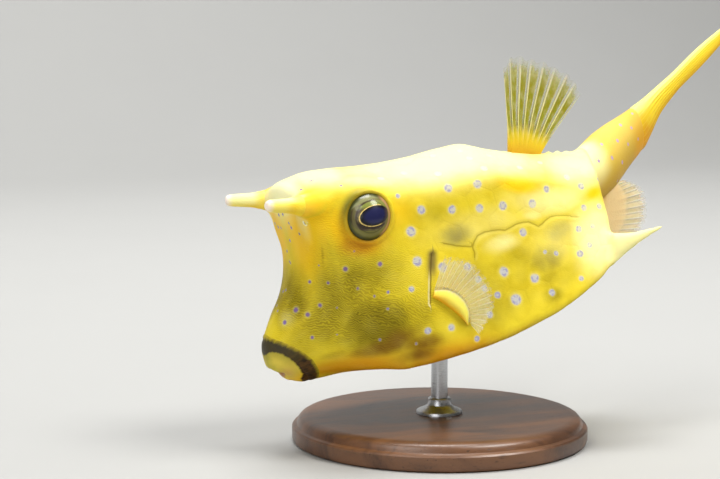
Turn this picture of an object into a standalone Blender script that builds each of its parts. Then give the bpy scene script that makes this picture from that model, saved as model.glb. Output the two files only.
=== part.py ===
"""Longhorn cowfish (Lactoria cornuta) as a still, life-size museum model on a display stand.

The fish is modelled in a frame of its own: +X runs to the tail, -Y is the fish's left side and
+Z is up, with the origin in the middle of the shell. A pose empty then tips it nose down and
lifts it over the base. Sizes are in millimetres and MM turns them into metres.
"""
import math

import bmesh
import bpy
import numpy as np
from mathutils import Vector

MM = 0.001
GAP = 0.3                      # left between nodes that touch
UP = Vector((0.0, 0.0, 1.0))
SIDEWAYS = Vector((0.0, 1.0, 0.0))

# Pose of the fish over the base, whose underside's centre is the origin.
NOSE_DOWN = math.radians(13.0)
RIDE_HEIGHT = 56.0

# Bony shell: cross-sections from the mouth ring to the rear rim. Each section lies in a plane
# that holds its back point, its belly point and the Y direction.
#   back x, z      belly x, z     half-width   height share  waist  roundness
#                                 upper lower  upper  lower
SECTIONS = (
    (-59.5, -8.0, -49.5, -24.0, 7.5, 7.9, 0.86, 0.14, 0.0, 1.00),
    (-55.4, -2.5, -46.0, -24.3, 8.2, 10.8, 0.88, 0.09, 0.0, 0.75),
    (-50.7, 3.2, -41.0, -24.2, 8.9, 14.4, 0.90, 0.06, 0.3, 0.40),
    (-47.7, 9.8, -36.0, -24.5, 9.7, 17.8, 0.91, 0.05, 0.5, 0.16),
    (-46.2, 17.0, -31.5, -24.9, 10.8, 20.6, 0.93, 0.04, 0.6, 0.06),
    (-46.6, 24.0, -27.5, -25.4, 12.6, 22.6, 0.94, 0.03, 0.6, 0.00),
    (-46.0, 32.4, -23.5, -25.8, 14.2, 24.0, 0.95, 0.03, 0.6, 0.00),
    (-39.0, 35.2, -19.0, -26.2, 16.2, 25.4, 0.93, 0.035, 0.5, 0.00),
    (-30.0, 34.7, -14.0, -26.4, 17.8, 26.4, 0.92, 0.04, 0.0, 0.00),
    (-19.0, 33.1, -8.0, -26.6, 17.8, 27.0, 0.89, 0.045, -0.6, 0.00),
    (-6.0, 32.0, 0.0, -26.6, 17.4, 27.3, 0.87, 0.05, -1.0, 0.00),
    (6.5, 32.0, 8.0, -26.2, 17.0, 27.3, 0.855, 0.055, -1.0, 0.00),
    (13.3, 31.6, 14.0, -25.5, 16.6, 27.2, 0.845, 0.06, -1.0, 0.00),
    (22.0, 27.8, 22.0, -24.0, 15.8, 26.8, 0.84, 0.06, -0.8, 0.00),
    (32.0, 24.2, 30.5, -21.0, 14.8, 26.0, 0.83, 0.05, -0.6, 0.00),
    (41.6, 21.4, 39.0, -17.0, 13.6, 25.0, 0.82, 0.03, -0.4, 0.00),
    (49.5, 19.8, 43.6, -13.6, 12.0, 24.2, 0.82, -0.01, -0.4, 0.00),
    (54.2, 18.8, 47.6, -9.4, 10.6, 23.6, 0.81, -0.11, -0.6, 0.00),
)
CROWN = 0.6                    # rise of the back between its middle and the upper ridge
RIDGE_TAPS = ((-0.45, 1), (-0.22, 2), (0.0, 3), (0.22, 2), (0.45, 1))   # rounds the ridges

# Six-sided plates in rows along the shell, raised on it with a groove round each.
ROWS = 24                      # rows round the shell, from the back round the right side
UPPER_ROW = 2                  # row of the upper side ridge
LOWER_ROW = 8                  # row of the lower side ridge
BELLY_ROW = 12
PLATE_LONG = 8.9               # length of a plate along the shell
PLATE_START = 5.0              # middle of the first plate of the even rows
PLATE_TOP = 0.80               # share of a plate inside its sloping edge
PLATE_RISE = 0.25
GROOVE_DEPTH = 0.2
PLATE_FADE = (6.0, 46.0)       # the plates' height grows between these distances from the mouth
PLATE_FAINTEST = 0.12
LATTICE_PAST_END = 1.5         # the lattice runs on this far before its ends are cut square

HEAD_CUT = -16.5               # head and trunk part here, behind the eye
RUMP_CUT = 28.0                # trunk and rump part here, before the dorsal fin

# Horns: straight, blunt, a little splayed. The flared root belongs to the head.
HORN_ROOT = Vector((-38.6, 11.8, 26.6))
HORN_TIP = Vector((-56.5, 17.2, 31.2))
HORN_UNEVEN = 0.55             # the left horn's tip is this much higher, and the right one's lower
HORN_PROFILE = ((0.0, 0.9), (0.35, 1.35), (1.1, 1.58), (2.6, 1.72), (9.0, 2.15), (11.4, 2.9),
                (14.0, 4.3), (16.6, 5.5), (18.8, 5.7))      # distance from the tip, radius
HORN_CUT = 10.2                # from the tip along the horn
HORN_SIDES = 14

# Eyes: balls in sockets with a raised rim.
EYE_X, EYE_Z = -28.1, 21.1
EYE_RADIUS = 7.6
EYE_SINK = 3.8                 # depth of the ball's centre under the shell
EYE_RIM_RADIUS = 7.05
EYE_RIM_THICK = 0.75

# Nostrils: a raised ring in front of each eye, under the horn.
NOSTRIL_PLACE = (25.6, 2.15)      # its length from the mouth and its row
NOSTRIL_RADIUS = 1.1
NOSTRIL_RIM = 0.5

# Gill slits: before the pectoral fins, leaning back at the top.
GILL_X, GILL_Z = -14.3, -1.2
GILL_LEAN = Vector((0.305, 0.0, 0.952))
GILL_HALF_HEIGHT = 7.0
GILL_HALF_WIDTH = 0.75
GILL_DEPTH = 1.6

# Mouth: a low dome on the front ring with lips round a small opening.
#   height, half-width, half-length, shift towards the chin
MOUTH_RINGS = (
    (GAP, 7.5, 9.2, 0.0), (1.6, 6.9, 8.5, -0.15), (2.8, 6.0, 7.2, -0.3), (3.7, 5.1, 5.7, -0.3),
    (4.4, 4.3, 4.4, 0.0), (4.6, 3.6, 3.2, 0.2), (4.5, 3.1, 2.2, 0.3), (3.4, 2.8, 1.5, 0.3),
)
MOUTH_SIDES = 28
LIP_CORNER = 0.9               # how far the lips' edge dips at the corners of the mouth

# Spines at the lower rear corners, along the lower ridges.
SPINE_SHARE = 0.02             # its root's height on the rear rim, as a share
SPINE_SIDE = 21.0
SPINE_TIP = Vector((63.6, 24.0, -6.1))
#   share of the way, half-height, half-thickness
SPINE_PROFILE = ((0.0, 4.8, 2.1), (0.25, 3.2, 1.8), (0.5, 2.1, 1.4), (0.75, 1.3, 1.0), (0.93, 0.8, 0.7),
                 (1.0, 0.35, 0.35))
SPINE_SIDES = 12

# Tail stalk: swings to the right and lifts a little.
TAIL_SWING = math.radians(25.0)
STALK_SHARE = 0.64             # its root's height on the rear rim, as a share
#   distance, rise, half-height, half-thickness
STALK_PROFILE = (
    (0.0, 0.9, 10.2, 7.6), (6.0, 1.9, 9.9, 7.3), (13.0, 3.3, 9.7, 6.6), (20.0, 4.9, 9.2, 5.6),
    (27.0, 6.4, 8.4, 4.5), (33.0, 7.8, 7.7, 3.6), (36.0, 8.6, 7.3, 3.2),
)
STALK_SIDES = 20

# Caudal fin: folded into a long blade with its rays side by side.
CAUDAL_RAYS = 8
CAUDAL_RIDGE = 0.16            # height of a ray's ridge, as a share of the blade's half-thickness
#   distance from its root, rise, half-height, half-thickness
CAUDAL_PROFILE = (
    (0.0, 0.0, 7.2, 2.6), (6.0, 2.0, 6.1, 2.1), (14.0, 5.4, 4.3, 1.7), (24.0, 8.4, 3.5, 1.45),
    (40.0, 12.6, 3.2, 1.2), (58.0, 17.0, 2.6, 1.0), (72.0, 20.2, 2.1, 0.8), (79.0, 21.8, 1.5, 0.65),
    (82.0, 22.5, 0.8, 0.5),
)

# Fins as fans. A root line is sunk in the body; the margin runs from the first ray to the last.
# Levels from root to margin: share of the way, half-thickness, height of the ray's ridge.
DORSAL = {
    "root": ((29.4, 0.0, 22.6), (37.6, 0.0, 19.9)),
    "margin": ((32.9, 0.0, 49.4), (37.0, 0.0, 52.4), (42.0, 0.0, 50.5), (47.0, 0.0, 48.3),
               (52.0, 0.0, 44.8), (56.2, 0.0, 40.8), (57.9, 0.0, 35.6)),
    "rays": 9,
    "levels": ((0.0, 1.5, 0.0), (0.1, 1.5, 0.0), (0.2, 1.1, 0.15), (0.27, 0.5, 0.4), (0.5, 0.42, 0.38),
               (0.75, 0.34, 0.32), (0.93, 0.28, 0.24), (1.0, 0.25, 0.12)),
}
PECTORAL = {
    "root": ((-14.9, 21.7, -5.6), (-6.6, 23.5, -15.2)),
    "margin": ((-11.4, 27.8, 6.0), (-5.0, 29.6, 3.0), (-0.8, 30.8, -4.5), (-0.8, 30.8, -12.0),
               (-6.2, 29.0, -19.0)),
    "rays": 11,
    "levels": ((0.0, 1.3, 0.0), (0.1, 2.1, 0.0), (0.2, 2.2, 0.0), (0.3, 1.4, 0.0), (0.38, 0.42, 0.3),
               (0.75, 0.33, 0.28), (1.0, 0.25, 0.12)),
}
ANAL = {
    "root": ((47.2, 0.3, -7.0), (60.5, 2.56, 5.2)),
    "margin": ((72.3, 4.57, -13.6), (76.2, 5.23, -10.2), (77.6, 5.47, -5.8), (77.4, 5.43, -0.9),
               (73.8, 4.82, 3.0), (69.7, 4.13, 5.0)),
    "rays": 9,
    "levels": ((0.0, 1.5, 0.0), (0.35, 1.3, 0.0), (0.5, 0.9, 0.1), (0.62, 0.45, 0.3), (0.85, 0.3, 0.26),
               (1.0, 0.25, 0.12)),
}
RAY_SHOULDER = 0.3             # half-width of a ray's ridge, as a share of the rays' spacing
WEB_REACH = 0.97               # how far the web reaches between the rays, as a share of the rays

# Stand.
BASE_RADIUS = 45.0
BASE_THICK = 8.0
BASE_CHAMFER = 1.2
ROD_RADIUS = 2.5
ROD_TOP = 36.0                 # height of the rod's end, inside its socket in the belly

COLOURS = {
    "skin": (0.86, 0.66, 0.06), "lips": (0.30, 0.24, 0.07), "eye": (0.05, 0.06, 0.08),
    "fin": (0.62, 0.55, 0.16), "wood": (0.07, 0.045, 0.03), "steel": (0.55, 0.56, 0.58),
}


# ---------------------------------------------------------------- scene and objects

def clear_scene():
    for obj in list(bpy.data.objects):
        bpy.data.objects.remove(obj, do_unlink=True)


def material(name, metallic=0.0, roughness=0.5):
    mat = bpy.data.materials.get(name) or bpy.data.materials.new(name)
    mat.use_nodes = True
    shader = mat.node_tree.nodes["Principled BSDF"]
    shader.inputs["Base Color"].default_value = (*COLOURS[name], 1.0)
    shader.inputs["Metallic"].default_value = metallic
    shader.inputs["Roughness"].default_value = roughness
    return mat


def collection(name):
    group = bpy.data.collections.get(name)
    if group is None:
        group = bpy.data.collections.new(name)
        bpy.context.scene.collection.children.link(group)
    return group


def adopt(obj, group_name="cowfish"):
    """Moves an object into one collection."""
    for group in list(obj.users_collection):
        group.objects.unlink(obj)
    collection(group_name).objects.link(obj)
    return obj


def add_object(name, mesh, mat=None):
    obj = bpy.data.objects.new(name, mesh)
    collection("cowfish").objects.link(obj)
    if mat is not None:
        obj.data.materials.append(mat)
    return obj


def solid(name, points, faces, mat=None):
    """An object of the given faces, with normals out. Points are in millimetres."""
    mesh = bpy.data.meshes.new(name)
    mesh.from_pydata([tuple(c * MM for c in p) for p in points], [], faces)
    bm = bmesh.new()
    bm.from_mesh(mesh)
    bmesh.ops.recalc_face_normals(bm, faces=bm.faces)
    bm.to_mesh(mesh)
    bm.free()
    return add_object(name, mesh, mat)


def apply_modifiers(obj):
    graph = bpy.context.evaluated_depsgraph_get()
    mesh = bpy.data.meshes.new_from_object(obj.evaluated_get(graph))
    obj.modifiers.clear()
    obj.data = mesh


def boolean(obj, others, operation):
    """Cuts or joins obj with the other closed objects, which are then removed."""
    for other in others:
        adopt(other, "tools")
    step = obj.modifiers.new(operation.lower(), "BOOLEAN")
    step.operation = operation
    step.operand_type = "COLLECTION"
    step.collection = collection("tools")
    apply_modifiers(obj)
    for other in others:
        bpy.data.objects.remove(other, do_unlink=True)
    return obj


def surfaces_of(bm):
    """The mesh's faces, in one set for each closed surface."""
    left = set(bm.faces)
    shells = []
    while left:
        front = [left.pop()]
        shell = set(front)
        while front:
            for edge in front.pop().edges:
                near = {face for face in edge.link_faces if face in left}
                left -= near
                shell |= near
                front.extend(near)
        shells.append(shell)
    return shells


def keep_largest(obj):
    """Drops every closed surface of the object but its largest."""
    bm = bmesh.new()
    bm.from_mesh(obj.data)
    shells = sorted(surfaces_of(bm), key=lambda shell: sum(face.calc_area() for face in shell))
    bmesh.ops.delete(bm, geom=[face for shell in shells[:-1] for face in shell], context="FACES")
    bm.to_mesh(obj.data)
    bm.free()
    return obj


def smooth_shade(obj, degrees=40.0):
    obj.data.shade_smooth()
    obj.data.set_sharp_from_angle(angle=math.radians(degrees))


def on_side(point, side):
    """The point on the right side (1) or mirrored to the left (-1)."""
    return Vector((point[0], side * point[1], point[2]))


# ---------------------------------------------------------------- curves and lofts

def curve_through(knots, values):
    """A smooth curve through the values, straight beyond its ends."""
    knots = np.asarray(knots, float)
    values = np.asarray(values, float)
    slopes = np.gradient(values, knots, axis=0)

    def at(u):
        inside = min(max(u, knots[0]), knots[-1])
        i = min(int(np.searchsorted(knots, inside, side="right")) - 1, len(knots) - 2)
        width = knots[i + 1] - knots[i]
        t = (inside - knots[i]) / width
        value = ((2 * t**3 - 3 * t**2 + 1) * values[i] + (t**3 - 2 * t**2 + t) * width * slopes[i]
                 + (3 * t**2 - 2 * t**3) * values[i + 1] + (t**3 - t**2) * width * slopes[i + 1])
        end_slope = slopes[0] if u < inside else slopes[-1]
        return value + end_slope * (u - inside)

    return at


def loft(name, rings, mat=None):
    """A closed body through rings of points, with flat ends."""
    sides = len(rings[0])
    points = [p for ring in rings for p in ring]
    faces = [tuple(reversed(range(sides)))]
    for k in range(len(rings) - 1):
        for j in range(sides):
            after = (j + 1) % sides
            faces.append((k * sides + j, k * sides + after, (k + 1) * sides + after, (k + 1) * sides + j))
    last = (len(rings) - 1) * sides
    faces.append(tuple(range(last, last + sides)))
    return solid(name, points, faces, mat)


def ellipse(centre, across, along, half_across, half_along, sides):
    """A ring of points; across and along are its unit directions."""
    ring = []
    for j in range(sides):
        angle = 2 * math.pi * j / sides
        ring.append(centre + across * (half_across * math.sin(angle))
                    + along * (half_along * math.cos(angle)))
    return ring


# ---------------------------------------------------------------- shell

def section_curve():
    """The sections as a smooth curve over the length of the line through their middles."""
    table = np.array(SECTIONS)
    middle = (table[:, 0:2] + table[:, 2:4]) / 2
    lengths = np.concatenate(([0.0], np.cumsum(np.linalg.norm(np.diff(middle, axis=0), axis=1))))
    return curve_through(lengths, table), lengths[-1]


SECTION_AT, SHELL_LENGTH = section_curve()


def outline_point(section, row):
    """Sideways distance and height share of the section's outline before its ridges are rounded."""
    row = row % ROWS
    if row > BELLY_ROW:
        side, height = outline_point(section, ROWS - row)
        return -side, height
    upper, lower, upper_share, lower_share, waist, roundness = section[4:10]
    span = math.dist(section[0:2], section[2:4])
    if row <= UPPER_ROW:
        t = row / UPPER_ROW
        side = upper * t
        height = 1 + (upper_share - 1) * t + 4 * CROWN * t * (1 - t) / span
    elif row <= LOWER_ROW:
        t = (row - UPPER_ROW) / (LOWER_ROW - UPPER_ROW)
        side = upper + (lower - upper) * t + 4 * waist * t * (1 - t)
        height = upper_share + (lower_share - upper_share) * t
    else:
        t = (BELLY_ROW - row) / (BELLY_ROW - LOWER_ROW)
        side = lower * t
        height = lower_share * t * t
    angle = math.pi * row / BELLY_ROW
    side += roundness * (lower * math.sin(angle) - side)
    height += roundness * (0.5 + 0.5 * math.cos(angle) - height)
    return side, height


def shell_point(u, row):
    """Point of the smooth shell at a length u from the mouth ring."""
    section = SECTION_AT(u)
    weight = sum(w for _, w in RIDGE_TAPS)
    side = height = 0.0
    for offset, w in RIDGE_TAPS:
        tap_side, tap_height = outline_point(section, row + offset)
        side += tap_side * w / weight
        height += tap_height * w / weight
    x = section[2] + (section[0] - section[2]) * height
    z = section[3] + (section[1] - section[3]) * height
    return Vector((x, side, z))


def shell_normal(u, row):
    step = 0.1
    along = shell_point(u + step, row) - shell_point(u - step, row)
    around = shell_point(u, row + step) - shell_point(u, row - step)
    return along.cross(around).normalized()


def shell_spot(x, z, side):
    """The point of the shell's flank with this x and z, and its normal."""
    u, row = SHELL_LENGTH * (x + 60.0) / 115.0, 5.0
    for _ in range(30):
        here = shell_point(u, row)
        du = shell_point(u + 0.1, row) - here
        dr = shell_point(u, row + 0.1) - here
        matrix = np.array(((du.x, dr.x), (du.z, dr.z))) / 0.1
        step = np.linalg.solve(matrix, (x - here.x, z - here.z))
        u += float(step[0])
        row += float(step[1])
    return on_side(shell_point(u, row), side), on_side(shell_normal(u, row), side)


def plate_corners(row):
    """Corners of a plate round its middle, in plate lengths and rows. Plates on a ridge have two
    more, so that they fold along it."""
    if row in (UPPER_ROW, LOWER_ROW, ROWS - UPPER_ROW, ROWS - LOWER_ROW):
        half = [(0.0, 2 / 3), (0.5, 1 / 3), (0.5, 0.0), (0.5, -1 / 3)]
    else:
        half = [(0.0, 2 / 3), (0.5, 1 / 3), (0.5, -1 / 3)]
    return half + [(-a, -b) for a, b in half]


def plated_shell(name, lift=0.0, mat=None):
    """The shell with its plates, raised by lift all over, with its two ends cut square."""
    index = {}
    points = []
    faces = []

    def corner(u, row, height):
        u = min(max(u, -LATTICE_PAST_END), SHELL_LENGTH + LATTICE_PAST_END)
        fade = min(max((u - PLATE_FADE[0]) / (PLATE_FADE[1] - PLATE_FADE[0]), PLATE_FAINTEST), 1.0)
        key = (round(u, 3), round(row % ROWS, 3), height)
        if key not in index:
            index[key] = len(points)
            points.append(shell_point(u, row) + shell_normal(u, row) * (lift + height * fade))
        return index[key]

    for row in range(ROWS):
        middle = PLATE_START - (0.5 * PLATE_LONG if row % 2 else 0.0) - PLATE_LONG
        while middle < SHELL_LENGTH + PLATE_LONG / 2:
            if middle > -PLATE_LONG / 2:
                corners = plate_corners(row)
                outer = [corner(middle + a * PLATE_LONG, row + b, -GROOVE_DEPTH) for a, b in corners]
                inner = [corner(middle + a * PLATE_LONG * PLATE_TOP, row + b * PLATE_TOP, PLATE_RISE)
                         for a, b in corners]
                centre = corner(middle, row, PLATE_RISE * 1.4)
                for k in range(len(corners)):
                    after = (k + 1) % len(corners)
                    faces.append((centre, inner[k], inner[after]))
                    faces.append((inner[k], outer[k], outer[after], inner[after]))
            middle += PLATE_LONG
    faces = [tuple(dict.fromkeys(face)) for face in faces]
    shell = solid(name, points, [face for face in faces if len(face) > 2], mat)
    square_end(shell, SECTIONS[0], -1)
    square_end(shell, SECTIONS[-1], 1)
    return shell


def section_plane(section):
    """A section's belly point, its direction to the back point, and the normal towards the tail."""
    belly = Vector((section[2], 0.0, section[3]))
    up = (Vector((section[0], 0.0, section[1])) - belly).normalized()
    return belly, up, Vector((up.z, 0.0, -up.x))


def square_end(obj, section, way):
    """Cuts an open end of the object along a section's plane and closes it."""
    belly, _, normal = section_plane(section)
    bm = bmesh.new()
    bm.from_mesh(obj.data)
    cut = bmesh.ops.bisect_plane(bm, geom=bm.verts[:] + bm.edges[:] + bm.faces[:], dist=1e-6,
                                 plane_co=belly * MM, plane_no=normal * way, clear_outer=True)
    rim = [item for item in cut["geom_cut"] if isinstance(item, bmesh.types.BMEdge)]
    bmesh.ops.edgeloop_fill(bm, edges=rim)
    bmesh.ops.recalc_face_normals(bm, faces=bm.faces)
    bm.to_mesh(obj.data)
    bm.free()


def rear_frame(share, side):
    """A point GAP behind the rear rim's plane, and the plane's upward direction."""
    belly, up, normal = section_plane(SECTIONS[-1])
    span = math.dist(SECTIONS[-1][0:2], SECTIONS[-1][2:4])
    return belly + up * (span * share) + SIDEWAYS * side + normal * GAP, up


def block(name, low, high):
    """A box between two corner points."""
    low, high = Vector(low), Vector(high)
    bpy.ops.mesh.primitive_cube_add(size=1.0)
    box = bpy.context.object
    box.name = name
    box.scale = (high - low) * MM
    box.location = (high + low) / 2 * MM
    bpy.context.view_layer.update()
    return box


def part_of(whole, name, x_from, x_to):
    """The stretch of the whole body between two cuts, as a node of its own."""
    piece = add_object(name, whole.data.copy())
    boolean(piece, [block("stretch", (x_from, -100.0, -100.0), (x_to, 100.0, 100.0))], "INTERSECT")
    return keep_largest(piece)


# ---------------------------------------------------------------- head pieces

def horn_rings(side, cut_from, cut_to):
    """Rings of a horn between two distances from its tip."""
    tip = on_side(HORN_TIP, side) - UP * (HORN_UNEVEN * side)
    axis = (on_side(HORN_ROOT, side) - tip).normalized()
    across = axis.cross(UP).normalized()
    along = across.cross(axis)
    distances, radii = zip(*HORN_PROFILE)
    rings = []
    for distance in [cut_from, *(d for d in distances if cut_from < d < cut_to), cut_to]:
        radius = float(np.interp(distance, distances, radii))
        rings.append(ellipse(tip + axis * distance, across, along, radius, radius, HORN_SIDES))
    return rings


def make_horn(name, side, mat):
    return loft(name, horn_rings(side, 0.0, HORN_CUT - GAP), mat)


def horn_boss(side):
    return loft("boss", horn_rings(side, HORN_CUT, HORN_PROFILE[-1][0]))


def eye_place(side):
    """The eye's spot on the shell, and the way it looks out."""
    return shell_spot(EYE_X, EYE_Z, side)


def eye_ball(name, side, radius, mat=None):
    spot, out = eye_place(side)
    bpy.ops.mesh.primitive_uv_sphere_add(segments=22, ring_count=12, radius=radius * MM)
    ball = bpy.context.object
    ball.name = name
    ball.location = (spot - out * EYE_SINK) * MM
    ball.rotation_euler = out.to_track_quat("Z", "Y").to_euler()
    if mat is not None:
        ball.data.materials.append(mat)
    bpy.context.view_layer.update()
    return adopt(ball)


def ring_on_shell(spot, out, radius, thick, segments):
    """A torus that lies round a spot of the shell."""
    bpy.ops.mesh.primitive_torus_add(major_segments=segments, minor_segments=8, major_radius=radius * MM,
                                     minor_radius=thick * MM)
    ring = bpy.context.object
    ring.location = spot * MM
    ring.rotation_euler = out.to_track_quat("Z", "Y").to_euler()
    bpy.context.view_layer.update()
    return ring


def head_additions(side):
    spot, out = eye_place(side)
    nostril = on_side(shell_point(*NOSTRIL_PLACE), side)
    nostril_out = on_side(shell_normal(*NOSTRIL_PLACE), side)
    return [horn_boss(side), ring_on_shell(spot, out, EYE_RIM_RADIUS, EYE_RIM_THICK, 26),
            ring_on_shell(nostril, nostril_out, NOSTRIL_RADIUS, NOSTRIL_RIM, 12)]


def lens_on_shell(spot, out, up, half_width, half_height, depth):
    """A long lens-shaped cutter, sunk in the shell by its depth."""
    across = up.cross(out).normalized()
    rings = []
    for way, size in ((-1.0, 0.5), (0.0, 1.0), (1.0, 1.0)):
        rings.append(ellipse(spot + out * (way * depth), across, up, half_width * size,
                             half_height * size, 10))
    return loft("lens", rings)


def shell_cutters(side):
    """The eye's socket, the nostril's hole and the gill slit."""
    nostril = on_side(shell_point(*NOSTRIL_PLACE), side)
    nostril_out = on_side(shell_normal(*NOSTRIL_PLACE), side)
    gill, gill_out = shell_spot(GILL_X, GILL_Z, side)
    hole = NOSTRIL_RADIUS - NOSTRIL_RIM * 0.7
    return [eye_ball("socket", side, EYE_RADIUS + GAP),
            lens_on_shell(nostril, nostril_out, UP, hole * 0.7, hole * 1.2, 0.9),
            lens_on_shell(gill, gill_out, GILL_LEAN, GILL_HALF_WIDTH, GILL_HALF_HEIGHT, GILL_DEPTH)]


def make_mouth(mat):
    belly, up, normal = section_plane(SECTIONS[0])
    middle = belly + up * (math.dist(SECTIONS[0][0:2], SECTIONS[0][2:4]) / 2)
    rings = []
    for height, half_width, half_length, shift in MOUTH_RINGS:
        ring = ellipse(middle - normal * height - up * shift, SIDEWAYS, up, half_width, half_length,
                       MOUTH_SIDES)
        dip = LIP_CORNER if height > MOUTH_RINGS[3][0] else 0.0
        rings.append([p + normal * (dip * (p.y / half_width) ** 4) for p in ring])
    return loft("mouth", rings, mat)


# ---------------------------------------------------------------- tail

def make_spine(name, side, mat):
    root, up = rear_frame(SPINE_SHARE, side * SPINE_SIDE)
    tip = on_side(SPINE_TIP, side)
    rings = []
    for share, high, thick in SPINE_PROFILE:
        rings.append(ellipse(root.lerp(tip, share), SIDEWAYS, up, thick, high, SPINE_SIDES))
    return loft(name, rings, mat)


def tail_directions():
    along = Vector((math.cos(TAIL_SWING), math.sin(TAIL_SWING), 0.0))
    return along, UP.cross(along)


def make_stalk(mat=None, grow=0.0):
    """The tail stalk. Its first rings turn from the rear rim's plane to the swung tail's."""
    start, rim_up = rear_frame(STALK_SHARE, 0.0)
    along, across = tail_directions()
    rings = []
    for k, (distance, rise, high, thick) in enumerate(STALK_PROFILE):
        turned = min(k / 2, 1.0)
        side = SIDEWAYS.lerp(across, turned).normalized()
        up = rim_up.lerp(UP, turned).normalized()
        middle = start + along * distance + UP * rise
        rings.append(ellipse(middle, side, up, thick + grow, high + grow, STALK_SIDES))
    return loft("tail_stalk", rings, mat)


def blade_ring(middle, across, high, thick):
    """A blade's section with a ridge for each ray down both faces."""
    count = 2 * CAUDAL_RAYS
    ring = []
    for face in (1, -1):
        for k in range(count):
            share = (k + 0.5) / count
            height = high * (1 - 2 * share) * face
            bulge = math.sqrt(1 - (1 - 2 * share) ** 2)
            ridge = 1 + CAUDAL_RIDGE * (1 if k % 2 else -1)
            ring.append(middle + UP * height + across * (thick * bulge**0.6 * ridge * face))
    return ring


def make_caudal(mat):
    along, across = tail_directions()
    distance, rise = STALK_PROFILE[-1][:2]
    start = rear_frame(STALK_SHARE, 0.0)[0] + along * (distance + GAP) + UP * rise
    rings = []
    for distance, rise, high, thick in CAUDAL_PROFILE:
        rings.append(blade_ring(start + along * distance + UP * rise, across, high, thick))
    return loft("caudal_fin", rings, mat)


# ---------------------------------------------------------------- fins

def ray_columns(rays):
    """Columns of a fan fin: each ray's crest and its two shoulders. The crests come with True."""
    spacing = 1.0 / (rays - 1)
    columns = []
    for k in range(rays):
        for offset in (-RAY_SHOULDER, 0.0, RAY_SHOULDER):
            s = (k + offset) * spacing
            if -1e-6 < s < 1 + 1e-6:
                columns.append((s, offset == 0.0))
    return columns


def fan_fin(name, fin, mat, side=1):
    """A fan of rays from a straight root to a curved margin, as one closed plate whose two faces
    have the same triangles."""
    root = np.array(fin["root"], float)
    margin_at = curve_through(np.linspace(0.0, 1.0, len(fin["margin"])), fin["margin"])
    normal = np.cross(root[1] - root[0], margin_at(0.5) - root[0])
    normal = normal / np.linalg.norm(normal)
    columns = ray_columns(fin["rays"])
    levels = fin["levels"]
    points = []
    for face in (1, -1):
        for s, is_crest in columns:
            foot = root[0] + (root[1] - root[0]) * s
            reach = (margin_at(s) - foot) * (1.0 if is_crest else WEB_REACH)
            for t, half, ridge in levels:
                p = foot + reach * t + normal * (face * (half + (ridge if is_crest else 0.0)))
                points.append(on_side(p, side))
    high, wide = len(levels), len(columns)
    other = high * wide
    faces = []
    for i in range(wide - 1):
        for j in range(high - 1):
            a, b, c, d = i * high + j, (i + 1) * high + j, (i + 1) * high + j + 1, i * high + j + 1
            for base in (0, other):
                faces += [(base + a, base + b, base + c), (base + a, base + c, base + d)]
        for j in (0, high - 1):
            a, b = i * high + j, (i + 1) * high + j
            faces.append((a, b, b + other, a + other))
    for i in (0, wide - 1):
        for j in range(high - 1):
            a, b = i * high + j, i * high + j + 1
            faces.append((a, b, b + other, a + other))
    return solid(name, points, faces, mat)


def seated_fin(name, fin, bodies, mat, side=1):
    """A fin cut clear of the bodies that it grows from."""
    obj = fan_fin(name, fin, mat, side)
    for body in bodies:
        boolean(obj, [body], "DIFFERENCE")
    return keep_largest(obj)


# ---------------------------------------------------------------- stand and assembly

def cylinder(name, radius, low, high, vertices):
    bpy.ops.mesh.primitive_cylinder_add(vertices=vertices, radius=radius * MM, depth=(high - low) * MM)
    obj = bpy.context.object
    obj.name = name
    obj.location = (0.0, 0.0, (high + low) / 2 * MM)
    bpy.context.view_layer.update()
    return adopt(obj)


def make_stand():
    base = cylinder("stand_base", BASE_RADIUS, 0.0, BASE_THICK, 64)
    bevel = base.modifiers.new("chamfer", "BEVEL")
    bevel.width = BASE_CHAMFER * MM
    bevel.segments = 2
    base.data.materials.append(material("wood", roughness=0.45))
    rod = cylinder("stand_rod", ROD_RADIUS, BASE_THICK + GAP, ROD_TOP, 24)
    rod.data.materials.append(material("steel", metallic=1.0, roughness=0.3))
    smooth_shade(base)
    smooth_shade(rod)


def make_shell_nodes(mat):
    whole = plated_shell("whole", mat=mat)
    boolean(whole, head_additions(1) + head_additions(-1), "UNION")
    boolean(whole, shell_cutters(1) + shell_cutters(-1), "DIFFERENCE")
    keep_largest(whole)
    nodes = [part_of(whole, "head", -100.0, HEAD_CUT - GAP / 2),
             part_of(whole, "trunk", HEAD_CUT + GAP / 2, RUMP_CUT - GAP / 2),
             part_of(whole, "rump", RUMP_CUT + GAP / 2, 100.0)]
    bpy.data.objects.remove(whole, do_unlink=True)
    return nodes


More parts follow.
